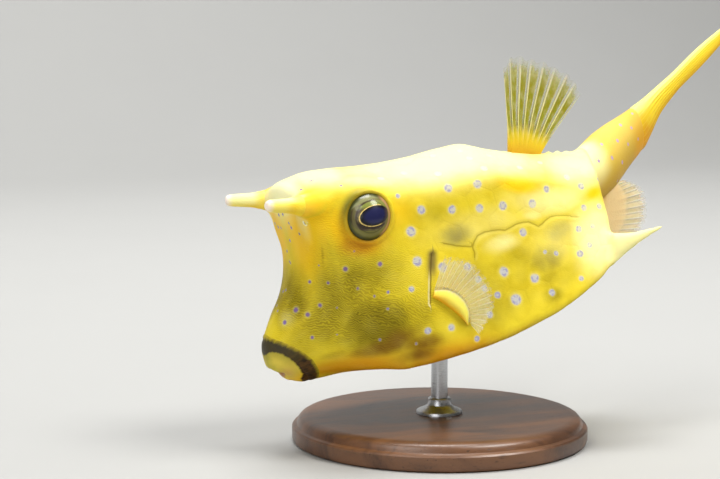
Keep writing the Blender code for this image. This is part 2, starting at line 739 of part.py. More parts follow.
def main():
    clear_scene()
    skin = material("skin", roughness=0.45)
    fin = material("fin", roughness=0.4)
    nodes = make_shell_nodes(skin)
    nodes.append(make_mouth(material("lips", roughness=0.4)))
    for side, word in ((1, "right"), (-1, "left")):
        nodes.append(make_horn("horn_" + word, side, skin))
        nodes.append(eye_ball("eye_" + word, side, EYE_RADIUS, material("eye", roughness=0.1)))
        nodes.append(make_spine("spine_" + word, side, skin))
        seat = [plated_shell("seat", GAP)]
        nodes.append(seated_fin("pectoral_fin_" + word, PECTORAL, seat, fin, side))
    nodes.append(seated_fin("dorsal_fin", DORSAL, [plated_shell("seat", GAP)], fin))
    nodes.append(seated_fin("anal_fin", ANAL, [plated_shell("seat", GAP), make_stalk(grow=GAP)], fin))
    nodes.append(make_stalk(skin))
    nodes.append(make_caudal(fin))

    pose = bpy.data.objects.new("pose", None)
    collection("cowfish").objects.link(pose)
    pose.location = (0.0, 0.0, RIDE_HEIGHT * MM)
    pose.rotation_euler = (0.0, -NOSE_DOWN, 0.0)
    for node in nodes:
        node.parent = pose
        smooth_shade(node)
    bpy.context.view_layer.update()
    socket = cylinder("rod socket", ROD_RADIUS + GAP, 0.0, ROD_TOP + GAP, 24)
    boolean(bpy.data.objects["trunk"], [socket], "DIFFERENCE")
    make_stand()


main()
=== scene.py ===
"""Longhorn cowfish on a display stand: its skin, fins, eyes and finishes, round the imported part.

The fish is shaped in a frame of its own, in millimetres: +X runs to the tail, -Y is its left side
and +Z is up. Rows run round the shell from the middle of the back, over the right side, the belly
and the left side, and lengths run along it from the mouth. to_model turns points of this frame
into the model's frame, in metres.
"""
import math

import bmesh
import bpy
import numpy as np
from mathutils import Matrix, Vector, kdtree


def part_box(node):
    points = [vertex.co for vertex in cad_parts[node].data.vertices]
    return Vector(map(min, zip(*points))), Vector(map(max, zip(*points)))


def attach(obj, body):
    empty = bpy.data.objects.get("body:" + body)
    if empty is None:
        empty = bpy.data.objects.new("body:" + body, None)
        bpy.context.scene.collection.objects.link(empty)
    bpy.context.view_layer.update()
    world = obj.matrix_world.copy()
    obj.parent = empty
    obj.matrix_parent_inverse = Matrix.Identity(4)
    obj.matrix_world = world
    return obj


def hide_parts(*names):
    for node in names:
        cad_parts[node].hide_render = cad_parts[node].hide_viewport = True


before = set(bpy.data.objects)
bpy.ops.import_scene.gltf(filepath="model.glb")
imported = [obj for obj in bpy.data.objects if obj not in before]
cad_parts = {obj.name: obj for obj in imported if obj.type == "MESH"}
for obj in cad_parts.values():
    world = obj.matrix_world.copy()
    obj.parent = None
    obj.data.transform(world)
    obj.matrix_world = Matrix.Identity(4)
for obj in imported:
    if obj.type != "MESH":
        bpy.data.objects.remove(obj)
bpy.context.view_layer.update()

MM = 0.001
NOSE_DOWN = math.radians(13.0)
RIDE_HEIGHT = 56.0
UP = np.array((0.0, 0.0, 1.0))
SIDEWAYS = np.array((0.0, 1.0, 0.0))
UPRIGHT = np.array((math.sin(NOSE_DOWN), 0.0, math.cos(NOSE_DOWN)))      # the model's +Z

# Cross-sections of the shell from the mouth to the rear rim:
#   back x, z      belly x, z     half-width   height share  waist  roundness
#                                 upper lower  upper  lower
SECTIONS = np.array((
    (-59.5, -8.0, -49.5, -24.0, 7.5, 7.9, 0.86, 0.14, 0.0, 1.00),
    (-55.4, -2.5, -46.0, -24.3, 8.2, 10.8, 0.88, 0.09, 0.0, 0.75),
    (-50.7, 3.2, -41.0, -24.2, 8.9, 14.4, 0.90, 0.06, 0.3, 0.40),
    (-47.7, 9.8, -36.0, -24.5, 9.7, 17.8, 0.91, 0.05, 0.5, 0.16),
    (-46.2, 17.0, -31.5, -24.9, 10.8, 20.6, 0.93, 0.04, 0.6, 0.06),
    (-46.6, 24.0, -27.5, -25.4, 12.6, 22.6, 0.94, 0.03, 0.6, 0.00),
    (-46.0, 32.4, -23.5, -25.8, 14.2, 24.0, 0.95, 0.03, 0.6, 0.00),
    (-39.0, 35.2, -19.0, -26.2, 16.2, 25.4, 0.93, 0.035, 0.5, 0.00),
    (-30.0, 34.7, -14.0, -26.4, 17.8, 26.4, 0.92, 0.04, 0.0, 0.00),
    (-19.0, 33.1, -8.0, -26.6, 17.8, 27.0, 0.89, 0.045, -0.6, 0.00),
    (-6.0, 32.0, 0.0, -26.6, 17.4, 27.3, 0.87, 0.05, -1.0, 0.00),
    (6.5, 32.0, 8.0, -26.2, 17.0, 27.3, 0.855, 0.055, -1.0, 0.00),
    (13.3, 31.6, 14.0, -25.5, 16.6, 27.2, 0.845, 0.06, -1.0, 0.00),
    (22.0, 27.8, 22.0, -24.0, 15.8, 26.8, 0.84, 0.06, -0.8, 0.00),
    (32.0, 24.2, 30.5, -21.0, 14.8, 26.0, 0.83, 0.05, -0.6, 0.00),
    (41.6, 21.4, 39.0, -17.0, 13.6, 25.0, 0.82, 0.03, -0.4, 0.00),
    (49.5, 19.8, 43.6, -13.6, 12.0, 24.2, 0.82, -0.01, -0.4, 0.00),
    (54.2, 18.8, 47.6, -9.4, 10.6, 23.6, 0.81, -0.11, -0.6, 0.00),
))
CROWN = 0.6
RIDGE_TAPS = ((-0.45, 1), (-0.22, 2), (0.0, 3), (0.22, 2), (0.45, 1))
ROWS, UPPER_ROW, LOWER_ROW, BELLY_ROW = 24, 2, 8, 12

# Bony plates under the skin.
PLATE_LONG = 8.9
PLATE_START = 5.0
PLATE_PITCH = math.sqrt(3) / 2     # rows of regular six-sided plates, in plate lengths
PLATE_RISE = 0.025
GROOVE_DEPTH = 0.02
PLATE_FADE = (14.0, 52.0)

SKIN_VOXEL = 0.55                  # size of the skin's mesh
SKIN_SMOOTHING = 5

# Horns.
HORN_ROOT = np.array((-38.6, 11.8, 26.6))
HORN_TIP = np.array((-56.5, 17.2, 31.2))
HORN_UNEVEN = 0.55                 # the left tip is this much higher and the right one lower
HORN_PROFILE = ((0.0, 0.35), (0.08, 0.75), (0.22, 1.02), (0.45, 1.27), (0.8, 1.45), (1.2, 1.58), (1.9, 1.66),
                (2.6, 1.72), (7.6, 2.02), (9.2, 2.3), (11.0, 2.85), (13.4, 3.9), (16.0, 5.0), (18.8, 5.6))
HORN_BARE = 10.2                   # length of horn that stands clear of its fleshy root

# Eyes.
EYE_RIM_RADIUS = 7.1
EYE_RIM_THICK = 0.75
EYE_BALL_RADIUS = 7.75
EYE_LEAN = math.radians(27.0)      # the eye's long axis leans to the tail
EYE_SHAPE = (0.965, 1.045)         # its short and long axes
EYE_SET = 3.7                      # depth of the ball's middle in the skin

# Spines and tail, as in the solids.
SPINE_SHARE, SPINE_SIDE = 0.02, 21.0
SPINE_TIP = np.array((63.6, 24.0, -6.1))
SPINE_PROFILE = ((-0.12, 5.6, 2.4), (0.0, 4.8, 2.1), (0.25, 3.2, 1.8), (0.5, 2.1, 1.4), (0.75, 1.35, 1.05),
                 (0.93, 0.85, 0.75), (1.0, 0.5, 0.45))
TAIL_SWING = math.radians(25.0)
STALK_SHARE = 0.64
STALK_PROFILE = ((-6.0, 0.6, 9.4, 7.4), (0.0, 0.9, 10.2, 7.6), (6.0, 1.9, 9.9, 7.3), (13.0, 3.3, 9.7, 6.6),
                 (20.0, 4.9, 9.2, 5.6), (27.0, 6.4, 8.4, 4.5), (33.0, 7.8, 7.7, 3.6), (36.0, 8.6, 7.3, 3.2))
STALK_LENGTH = STALK_PROFILE[-1][0]
STALK_CLIMB, STALK_HALF_HEIGHT = 0.22, 9.0     # its rise for each mm along it, and its mean half-height
STALK_TURN = 13.0                              # where it has turned fully into the tail's direction
STALK_HOLE = (15.0, 55.0)                      # half-width of its foot on the rear face, up to this length


# ---------------------------------------------------------------- frame of the fish

def to_model(points):
    """Points of the fish's frame, in millimetres, in the model's frame, in metres."""
    p = np.asarray(points, float)
    c, s = math.cos(NOSE_DOWN), math.sin(NOSE_DOWN)
    x = p[..., 0] * c - p[..., 2] * s
    z = p[..., 0] * s + p[..., 2] * c + RIDE_HEIGHT
    return np.stack((x, p[..., 1], z), axis=-1) * MM


def to_fish(points):
    p = np.asarray(points, float) / MM
    c, s = math.cos(NOSE_DOWN), math.sin(NOSE_DOWN)
    z = p[..., 2] - RIDE_HEIGHT
    return np.stack((p[..., 0] * c + z * s, p[..., 1], -p[..., 0] * s + z * c), axis=-1)


def fish_axes():
    """Turns directions of the model's frame into the fish's, when they are multiplied by it."""
    c, s = math.cos(NOSE_DOWN), math.sin(NOSE_DOWN)
    return np.array(((c, 0.0, -s), (0.0, 1.0, 0.0), (s, 0.0, c)))


def unit(v):
    v = np.asarray(v, float)
    return v / np.linalg.norm(v, axis=-1, keepdims=True)


def on_side(point, side):
    return np.array((point[0], side * point[1], point[2]))


def smooth_step(x, low, high):
    t = np.clip((np.asarray(x, float) - low) / (high - low), 0.0, 1.0)
    return t * t * (3 - 2 * t)


def hump(x, width, middle=0.0):
    return np.exp(-(((x - middle) / width) ** 2))


def search_tree(points):
    """Finds the nearest of the points."""
    tree = kdtree.KDTree(len(points))
    for i, p in enumerate(points):
        tree.insert(p, i)
    tree.balance()
    return tree


def curve_through(knots, values):
    """A smooth curve through the values, straight beyond its ends."""
    knots, values = np.asarray(knots, float), np.asarray(values, float)
    slopes = np.gradient(values, knots, axis=0)

    def at(u):
        u = np.atleast_1d(np.asarray(u, float))
        inside = np.clip(u, knots[0], knots[-1])
        i = np.clip(np.searchsorted(knots, inside, side="right") - 1, 0, len(knots) - 2)
        width = (knots[i + 1] - knots[i])[:, None]
        t = (inside - knots[i])[:, None] / width
        value = ((2 * t**3 - 3 * t**2 + 1) * values[i] + (t**3 - 2 * t**2 + t) * width * slopes[i]
                 + (3 * t**2 - 2 * t**3) * values[i + 1] + (t**3 - t**2) * width * slopes[i + 1])
        beyond = (u - inside)[:, None]
        return value + np.where(beyond < 0, slopes[0], slopes[-1]) * beyond

    return at


# ---------------------------------------------------------------- shell

MIDDLES = (SECTIONS[:, 0:2] + SECTIONS[:, 2:4]) / 2
LENGTHS = np.concatenate(([0.0], np.cumsum(np.linalg.norm(np.diff(MIDDLES, axis=0), axis=1))))
SHELL_LENGTH = LENGTHS[-1]
sections_at = curve_through(LENGTHS, SECTIONS)


def outline(sections, rows):
    """Sideways distance and height share of the sections' outline at each row."""
    rows = np.mod(rows, ROWS)
    left = rows > BELLY_ROW
    r = np.where(left, ROWS - rows, rows)
    upper, lower, upper_share, lower_share, waist, roundness = sections[:, 4:10].T
    span = np.hypot(sections[:, 0] - sections[:, 2], sections[:, 1] - sections[:, 3])
    a = r / UPPER_ROW
    b = (r - UPPER_ROW) / (LOWER_ROW - UPPER_ROW)
    c = (BELLY_ROW - r) / (BELLY_ROW - LOWER_ROW)
    on_back, on_flank = r <= UPPER_ROW, r <= LOWER_ROW
    side = np.where(on_back, upper * a, np.where(on_flank, upper + (lower - upper) * b + 4 * waist * b * (1 - b),
                                                 lower * c))
    height = np.where(on_back, 1 + (upper_share - 1) * a + 4 * CROWN * a * (1 - a) / span,
                      np.where(on_flank, upper_share + (lower_share - upper_share) * b, lower_share * c * c))
    angle = math.pi * r / BELLY_ROW
    side = side + roundness * (lower * np.sin(angle) - side)
    height = height + roundness * (0.5 + 0.5 * np.cos(angle) - height)
    return np.where(left, -side, side), height


def shell_points(lengths, rows):
    """Points of the smooth shell."""
    lengths, rows = np.broadcast_arrays(np.asarray(lengths, float), np.asarray(rows, float))
    shape = lengths.shape
    lengths, rows = lengths.ravel(), rows.ravel()
    sections = sections_at(lengths)
    weight = sum(w for _, w in RIDGE_TAPS)
    side = height = 0.0
    for offset, w in RIDGE_TAPS:
        tap_side, tap_height = outline(sections, rows + offset)
        side = side + tap_side * w / weight
        height = height + tap_height * w / weight
    x = sections[:, 2] + (sections[:, 0] - sections[:, 2]) * height
    z = sections[:, 3] + (sections[:, 1] - sections[:, 3]) * height
    return np.stack((x, side, z), axis=-1).reshape(*shape, 3)


def shell_slopes(lengths, rows, step=0.05):
    along = (shell_points(lengths + step, rows) - shell_points(lengths - step, rows)) / (2 * step)
    around = (shell_points(lengths, rows + step) - shell_points(lengths, rows - step)) / (2 * step)
    return along, around


def shell_normals(lengths, rows):
    along, around = shell_slopes(lengths, rows)
    return unit(np.cross(along, around))


MAP_STEP, MAP_ROW_STEP = 0.8, 0.1


class ShellMap:
    """Finds the length and row of points near the shell."""

    def __init__(self):
        lengths = np.arange(-2.0, SHELL_LENGTH + 2.0, MAP_STEP)
        rows = np.arange(0.0, ROWS, MAP_ROW_STEP)
        self.lengths, self.rows = (g.ravel() for g in np.meshgrid(lengths, rows, indexing="ij"))
        self.points = shell_points(self.lengths, self.rows)
        along, around = shell_slopes(self.lengths, self.rows)
        self.along, self.around, self.normals = along, around, unit(np.cross(along, around))
        self.tree = search_tree(self.points)

    def find(self, points):
        """Length, row and height above the shell of each point."""
        near = np.array([self.tree.find(p)[1] for p in points])
        away = points - self.points[near]
        along, around = self.along[near], self.around[near]
        aa, ab, bb = (along * along).sum(1), (along * around).sum(1), (around * around).sum(1)
        pa, pb = (away * along).sum(1), (away * around).sum(1)
        det = aa * bb - ab * ab
        length = self.lengths[near] + np.clip((pa * bb - pb * ab) / det, -MAP_STEP, MAP_STEP)
        row = self.rows[near] + np.clip((pb * aa - pa * ab) / det, -MAP_ROW_STEP, MAP_ROW_STEP)
        return length, np.mod(row, ROWS), (away * self.normals[near]).sum(1)


def plate_place(lengths, rows):
    """Distance from the edge of its plate, from 0 on the edge to 0.5 in the middle, in plates."""
    x = (lengths - PLATE_START) / PLATE_LONG
    even_x, even_y = x - np.round(x), (rows - 2 * np.round(rows / 2)) * PLATE_PITCH
    odd_x = x - np.floor(x) - 0.5
    odd_y = (rows - 2 * np.floor(rows / 2) - 1) * PLATE_PITCH
    odd = odd_x**2 + odd_y**2 < even_x**2 + even_y**2
    dx, dy = np.abs(np.where(odd, odd_x, even_x)), np.abs(np.where(odd, odd_y, even_y))
    return 0.5 - np.maximum(dx, 0.5 * dx + PLATE_PITCH * dy)


def section_plane(section):
    """A section's belly point, its direction to the back, the normal to the tail, and its height."""
    belly = np.array((section[2], 0.0, section[3]))
    rise = np.array((section[0], 0.0, section[1])) - belly
    up = unit(rise)
    return belly, up, np.array((up[2], 0.0, -up[0])), np.linalg.norm(rise)


def rear_point(share, side):
    belly, up, _, span = section_plane(SECTIONS[-1])
    return belly + up * (span * share) + SIDEWAYS * side, up


# ---------------------------------------------------------------- modelling helpers

def nothing_selected():
    if bpy.context.object is not None and bpy.context.object.mode != "OBJECT":
        bpy.ops.object.mode_set(mode="OBJECT")
    bpy.ops.object.select_all(action="DESELECT")


def only(obj):
    nothing_selected()
    obj.select_set(True)
    bpy.context.view_layer.objects.active = obj


def named(name):
    obj = bpy.context.object
    obj.name = name
    obj.data.name = name
    return obj


def vertex_array(obj):
    co = np.empty(len(obj.data.vertices) * 3)
    obj.data.vertices.foreach_get("co", co)
    return co.reshape(-1, 3)


def set_vertices(obj, points):
    obj.data.vertices.foreach_set("co", np.ascontiguousarray(points, dtype=np.float32).ravel())
    obj.data.update()


def normal_array(obj):
    n = np.empty(len(obj.data.vertices) * 3, dtype=np.float32)
    obj.data.vertex_normals.foreach_get("vector", n)
    return n.reshape(-1, 3).astype(float)


def keep_values(obj, **values):
    """Keeps numbers for each vertex under their names, which a material can read."""
    for name, numbers in values.items():
        held = obj.data.attributes.get(name) or obj.data.attributes.new(name, "FLOAT", "POINT")
        held.data.foreach_set("value", np.asarray(numbers, dtype=np.float32))


def corner_map(obj, name, corners):
    """Keeps a flat place for each face corner, as a UV map."""
    layer = obj.data.uv_layers.get(name) or obj.data.uv_layers.new(name=name)
    layer.data.foreach_set("uv", np.ascontiguousarray(corners, dtype=np.float32).ravel())


def corner_vertices(obj):
    index = np.empty(len(obj.data.loops), dtype=np.int32)
    obj.data.loops.foreach_get("vertex_index", index)
    return index


def unbroken(obj, values, turn):
    """Corner values of a full turn, made to run on within each face."""
    sizes = np.empty(len(obj.data.polygons), dtype=np.int32)
    obj.data.polygons.foreach_get("loop_total", sizes)
    starts = np.empty(len(obj.data.polygons), dtype=np.int32)
    obj.data.polygons.foreach_get("loop_start", starts)
    highest = np.repeat(np.maximum.reduceat(values, starts), sizes)
    return np.where(highest - values > turn / 2, values + turn, values)


def with_modifier(obj, kind, **settings):
    only(obj)
    item = obj.modifiers.new(kind.lower(), kind)
    for key, value in settings.items():
        setattr(item, key, value)
    bpy.ops.object.modifier_apply(modifier=item.name)
    return obj


def all_outward(obj):
    only(obj)
    bpy.ops.object.mode_set(mode="EDIT")
    bpy.ops.mesh.select_all(action="SELECT")
    bpy.ops.mesh.remove_doubles(threshold=1e-6)
    bpy.ops.mesh.normals_make_consistent(inside=False)
    bpy.ops.object.mode_set(mode="OBJECT")
    return obj


def joined(objs, name):
    nothing_selected()
    for obj in objs:
        obj.select_set(True)
    bpy.context.view_layer.objects.active = objs[0]
    bpy.ops.object.join()
    return named(name)


def ring(centre, across, along, half_across, half_along, sides):
    angle = 2 * math.pi * np.arange(sides)[:, None] / sides
    return centre + across * (half_across * np.sin(angle)) + along * (half_along * np.cos(angle))


def drawn_out(name, rings):
    """A closed body made from a disc that is extruded from ring to ring."""
    sides = len(rings[0])
    nothing_selected()
    bpy.ops.mesh.primitive_circle_add(vertices=sides, radius=1.0, fill_type="NGON")
    obj = named(name)
    bpy.ops.object.mode_set(mode="EDIT")
    mesh = bmesh.from_edit_mesh(obj.data)
    mesh.verts.ensure_lookup_table()
    order = {tuple(round(c, 6) for c in v.co): i for i, v in enumerate(mesh.verts)}
    for k, points in enumerate(rings):
        if k:
            bpy.ops.mesh.extrude_region_move()
        mesh = bmesh.from_edit_mesh(obj.data)
        moved = {}
        chosen = [v for v in mesh.verts if v.select]
        places = to_model(points)
        for vert in chosen:
            j = order[tuple(round(c, 6) for c in vert.co)]
            vert.co = places[j]
            moved[tuple(round(c, 6) for c in vert.co)] = j
        order = moved
        bmesh.update_edit_mesh(obj.data)
    bpy.ops.object.mode_set(mode="OBJECT")
    return all_outward(obj)


def grid_sheet(name, columns, levels, place):
    """A grid whose points go where place puts them, from their shares across and along."""
    nothing_selected()
    bpy.ops.mesh.primitive_grid_add(x_subdivisions=columns, y_subdivisions=levels, size=1.0)
    obj = named(name)
    flat = vertex_array(obj)
    across, along = flat[:, 0] + 0.5, flat[:, 1] + 0.5
    corners = corner_vertices(obj)
    corner_map(obj, "across_along", np.stack((across[corners], along[corners]), axis=-1))
    set_vertices(obj, to_model(place(across, along)))
    return obj, across, along


def smooth(obj, degrees=None):
    only(obj)
    if degrees is None:
        bpy.ops.object.shade_smooth()
    else:
        bpy.ops.object.shade_smooth_by_angle(angle=math.radians(degrees))
    return obj


def finish_piece(obj, mat, slot, *nodes):
    """Gives a piece its material, hangs it from the root body and hides the parts that it stands for. The slot is not
    used.
    """
    if mat is not None:
        obj.data.materials.clear()
        obj.data.materials.append(mat)
    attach(obj, "root")
    if nodes:
        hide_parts(*nodes)
    return obj


# ---------------------------------------------------------------- skin

def rolled_shell():
    """The shell's smooth surface, as a grid rolled into a tube and closed at both ends."""
    obj, _, _ = grid_sheet("shell", 150, 192,
                           lambda along, around: shell_points(along * SHELL_LENGTH, around * ROWS))
    only(obj)
    bpy.ops.object.mode_set(mode="EDIT")
    bpy.ops.mesh.select_all(action="SELECT")
    bpy.ops.mesh.remove_doubles(threshold=1e-6)
    bpy.ops.mesh.select_all(action="DESELECT")
    bpy.ops.mesh.select_mode(type="EDGE")
    bpy.ops.mesh.select_non_manifold()
    bpy.ops.mesh.fill_holes(sides=0)
    bpy.ops.object.mode_set(mode="OBJECT")
    return all_outward(obj)


def horn_ends(side):
    return on_side(HORN_TIP, side) - UP * (HORN_UNEVEN * side), on_side(HORN_ROOT, side)


def horn_rings(side, distances, extra=0.0, sides=40):
    tip, root = horn_ends(side)
    axis = unit(root - tip)
    across = unit(np.cross(axis, UP))
    up = np.cross(across, axis)
    known, radii = zip(*HORN_PROFILE)
    return [ring(tip + axis * d, across, up, r, r, sides)
            for d, r in ((d, float(np.interp(d, known, radii)) + extra) for d in distances)]


def horn_flesh(side):
    return drawn_out("flesh", horn_rings(side, (HORN_BARE, 11.2, 12.4, 13.6, 15.0, 16.5, 18.0, 19.6)))


def eye_frame(side):
    """Middle of the eye's ball, the way it looks, and its directions to the tail and upwards."""
    low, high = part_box("eye_right" if side > 0 else "eye_left")
    centre = to_fish(np.array((low + high) / 2)[None])[0]
    length, row, _ = SHELL_MAP.find(centre[None] + SIDEWAYS * (side * EYE_SET))
    out = shell_normals(length, row)[0]
    up = unit(UPRIGHT - (UPRIGHT @ out) * out)
    return centre, out, np.cross(up, out) * -side, up


def eye_axes(side):
    """The eye's short and long axes, with their shares of its radius."""
    _, _, tailward, up = eye_frame(side)
    c, s = math.cos(EYE_LEAN), math.sin(EYE_LEAN)
    return (tailward * c - up * s) * EYE_SHAPE[0], (up * c + tailward * s) * EYE_SHAPE[1]


def eye_rim(side):
    """A low ring of skin round the eye."""
    centre, out, _, _ = eye_frame(side)
    short, long = eye_axes(side)
    nothing_selected()
    bpy.ops.mesh.primitive_torus_add(major_segments=64, minor_segments=14, major_radius=EYE_RIM_RADIUS,
                                     minor_radius=EYE_RIM_THICK)
    obj = named("rim")
    p = vertex_array(obj)
    points = centre + out * EYE_SET + p[:, :1] * short + p[:, 1:2] * long + p[:, 2:3] * out * 1.15
    set_vertices(obj, to_model(points))
    return all_outward(obj)


def spine_body(side):
    root, up = rear_point(SPINE_SHARE, side * SPINE_SIDE)
    tip = on_side(SPINE_TIP, side)
    rings = [ring(root + (tip - root) * share, SIDEWAYS, up, thick, high, 24)
             for share, high, thick in SPINE_PROFILE]
    return drawn_out("spine", rings)


def tail_frame():
    along = np.array((math.cos(TAIL_SWING), math.sin(TAIL_SWING), 0.0))
    return along, np.cross(UP, along)


def stalk_ring(distance):
    """Middle, directions and half-sizes of the tail stalk's outline at a distance along it."""
    start, rim_up = rear_point(STALK_SHARE, 0.0)
    along, across = tail_frame()
    table = np.array(STALK_PROFILE)
    rise, high, thick = curve_through(table[:, 0], table[:, 1:])(distance)[0]
    turned = float(np.clip(distance / STALK_TURN, 0.0, 1.0))
    side = unit(SIDEWAYS * (1 - turned) + across * turned)
    up = unit(rim_up * (1 - turned) + UP * turned)
    return start + along * distance + UP * rise, side, up, thick, high


def stalk_body():
    first, last = STALK_PROFILE[0][0], STALK_PROFILE[-1][0]
    return drawn_out("stalk", [ring(*stalk_ring(d), 48) for d in np.linspace(first, last, 24)])


# Markings, on the left side: length from the mouth, row, size. The right side has them shifted.
SPOTS = (
    (49.6, 21.75, 0.6), (54.0, 21.18, 1.0), (48.6, 20.45, 1.2), (46.2, 19.38, 1.15), (53.0, 19.07, 1.15),
    (62.3, 21.0, 1.0), (70.3, 20.8, 1.0), (77.8, 20.7, 1.05), (87.9, 20.8, 1.05), (94.1, 21.45, 0.9),
    (102.6, 22.0, 0.8), (106.1, 21.3, 0.9), (105.0, 20.1, 0.8), (114.1, 21.4, 0.7), (111.0, 19.8, 0.75),
    (71.6, 18.3, 1.15), (80.7, 17.68, 1.1), (66.9, 17.6, 0.8), (72.4, 17.2, 1.25), (61.5, 17.05, 0.85),
    (46.4, 17.0, 0.85), (37.8, 17.07, 0.8), (40.2, 18.48, 0.7), (81.8, 19.57, 1.0), (100.8, 19.1, 0.85),
    (106.1, 18.9, 0.65), (98.5, 17.9, 0.95), (102.8, 18.05, 0.7), (90.6, 18.4, 0.65), (96.2, 16.8, 0.65),
    (87.0, 18.6, 0.5), (63.3, 17.98, 0.75), (63.5, 21.8, 1.1), (71.9, 21.7, 1.1), (63.5, 22.5, 0.9),
    (76.5, 22.3, 0.9), (49.3, 22.7, 0.8), (56.1, 22.88, 0.8), (74.9, 22.9, 0.8), (74.4, 23.4, 0.8),
    (60.6, 18.88, 0.95), (62.5, 18.35, 0.85), (84.7, 16.9, 0.8), (53.6, 16.4, 0.7), (89.3, 22.6, 0.8),
    (97.8, 23.0, 0.7), (82.7, 23.2, 0.7), (66.7, 23.5, 0.7), (58.7, 15.0, 0.7), (74.7, 14.6, 0.8),
    (90.7, 15.2, 0.7), (66.7, 13.4, 0.7),
)
DOTS = (
    (27.0, 19.77, 0.9), (35.6, 19.45, 0.85), (15.6, 21.77, 0.65), (19.7, 20.55, 0.6), (20.2, 23.77, 0.65),
    (22.5, 22.48, 0.6), (22.7, 23.18, 0.7), (14.0, 20.58, 0.75), (8.4, 21.95, 1.0), (9.9, 20.93, 0.85),
    (4.6, 22.1, 0.9), (7.2, 19.32, 0.65), (17.5, 19.65, 0.4), (13.1, 18.6, 0.35), (26.5, 19.1, 0.55),
    (29.3, 18.55, 0.5), (33.2, 18.55, 0.6), (30.4, 18.05, 0.5), (20.6, 21.23, 0.4), (31.7, 20.02, 0.4),
    (24.4, 23.8, 0.7), (23.3, 23.33, 0.6), (30.7, 22.62, 0.7), (34.1, 23.0, 0.7), (38.2, 22.25, 0.6),
    (22.5, 17.4, 0.5), (31.8, 16.77, 0.5), (10.7, 23.9, 0.6), (16.2, 23.85, 0.55), (5.7, 23.7, 0.5),
)
SPOT_RADIUS = 1.35
DOT_RADIUS = 0.9
# The same on the tail's stalk: distance along it, turn from its top in degrees, size.
STALK_DOTS = ((4.0, -62.0, 0.8), (9.0, -38.0, 0.8), (10.5, -75.0, 0.9), (16.0, -100.0, 0.9), (17.0, -58.0, 0.9),
              (22.5, -82.0, 0.8), (23.5, -35.0, 0.8), (28.0, -60.0, 0.8), (30.5, -95.0, 0.7), (13.0, -130.0, 0.7),
              (24.0, -140.0, 0.6), (33.0, -30.0, 0.6))
CREASE = ((64.0, 19.15), (64.5, 19.3), (64.4, 19.5), (65.7, 19.7), (67.2, 19.85), (69.6, 19.9), (71.9, 19.88),
          (74.4, 19.83), (76.2, 19.75), (78.2, 19.83), (80.3, 19.93), (82.7, 20.0), (84.8, 20.0), (86.4, 19.88),
          (87.6, 19.75), (89.0, 19.83), (91.0, 20.0), (92.4, 20.08), (94.5, 20.1), (98.0, 19.98), (101.4, 19.75))
CREASE_BRANCH = ((64.5, 19.52), (62.0, 19.62), (59.7, 19.7), (58.0, 19.8), (56.4, 19.88))
GILL_SLIT = ((51.5, 19.55), (49.5, 19.1), (47.2, 18.62), (45.3, 18.23), (43.6, 17.9))
NOSTRIL_FOLD = ((24.6, 23.4), (25.6, 22.8), (26.3, 22.33), (26.6, 21.98), (26.3, 21.75))

# Soft patches of colour: length, row, half-length, half-rows, strength.
REAR_GOLD = ((85.5, 21.6, 7.0, 0.35, 0.9), (110.0, 20.7, 3.6, 0.32, 0.95))
GOLD_PATCHES = ((25.0, 22.4, 10.0, 1.7, 1.0), (28.5, 21.4, 5.0, 0.9, 0.9), (34.0, 20.75, 7.0, 0.8, 0.9),
                (46.0, 21.2, 10.0, 0.7, 0.5), *REAR_GOLD)
OLIVE_PATCHES = (
    (9.5, 22.8, 7.0, 2.4, 0.78), (14.0, 19.8, 14.0, 1.8, 0.72), (28.0, 19.3, 15.0, 1.1, 0.62),
    (25.0, 17.75, 12.0, 0.95, 1.0), (21.0, 18.3, 11.0, 0.9, 0.85), (37.0, 17.6, 9.0, 0.8, 0.5),
    (61.0, 20.08, 5.0, 0.42, 0.85), (94.0, 19.35, 6.5, 0.6, 0.5), (87.0, 18.2, 7.5, 0.75, 0.6),
    (86.0, 17.5, 6.0, 0.5, 0.5), (92.0, 17.4, 8.0, 0.7, 0.42), (84.8, 16.8, 4.5, 0.45, 0.6),
    (62.0, 18.0, 24.0, 1.4, 0.4), (62.0, 17.2, 20.0, 0.9, 0.46), (68.5, 18.7, 7.0, 0.4, 0.3),
    (5.0, 18.9, 5.0, 1.2, 0.35), (56.0, 21.0, 8.0, 0.5, 0.4), (78.0, 18.6, 7.0, 0.6, 0.4),
)
BROWN_PATCHES = ((24.0, 17.05, 12.0, 0.4, 0.8), (34.0, 16.75, 10.0, 0.34, 0.75), (30.5, 16.45, 9.0, 0.32, 0.72),
                 (9.5, 17.3, 5.0, 0.4, 0.4), (23.5, 20.95, 2.3, 0.1, 0.5))
OCHRE_PATCHES = (
    (14.0, 15.7, 18.0, 1.5, 1.0), (40.0, 15.8, 24.0, 0.85, 0.95), (66.0, 16.0, 18.0, 0.3, 0.35),
    (90.0, 16.0, 14.0, 0.25, 0.15), (14.0, 13.4, 16.0, 1.5, 0.6), (33.0, 20.15, 5.0, 0.35, 0.8),
)
# Pale patches, partly the skin's own paler colour and partly painted light: the back and head top painted pale as if
# lit from above, a painted glint beside each nostril, and painted light on the forehead between the horns.
PALE_AND_LIT_PATCHES = (
    (70.8, 23.3, 36.0, 1.5, 1.0), (107.0, 18.2, 10.5, 2.2, 0.9), (108.7, 23.0, 14.0, 2.2, 0.9),
    (37.0, 23.6, 8.0, 1.4, 1.0), (96.0, 20.9, 18.0, 0.9, 0.6), (46.0, 22.6, 12.0, 0.6, 0.7),
    (5.5, 22.2, 2.5, 1.2, 0.35), (94.0, 19.0, 14.0, 1.4, 0.34), (70.0, 20.2, 22.0, 0.8, 0.34),
    (24.8, 22.1, 2.6, 0.6, 0.5), (29.5, 24.0, 6.5, 1.5, 1.0), (112.0, 17.0, 8.0, 1.2, 0.9),
    (87.0, 20.3, 5.0, 0.3, 0.5), (74.0, 19.35, 7.0, 0.4, 0.55), (100.0, 17.6, 4.0, 0.5, 0.5),
)
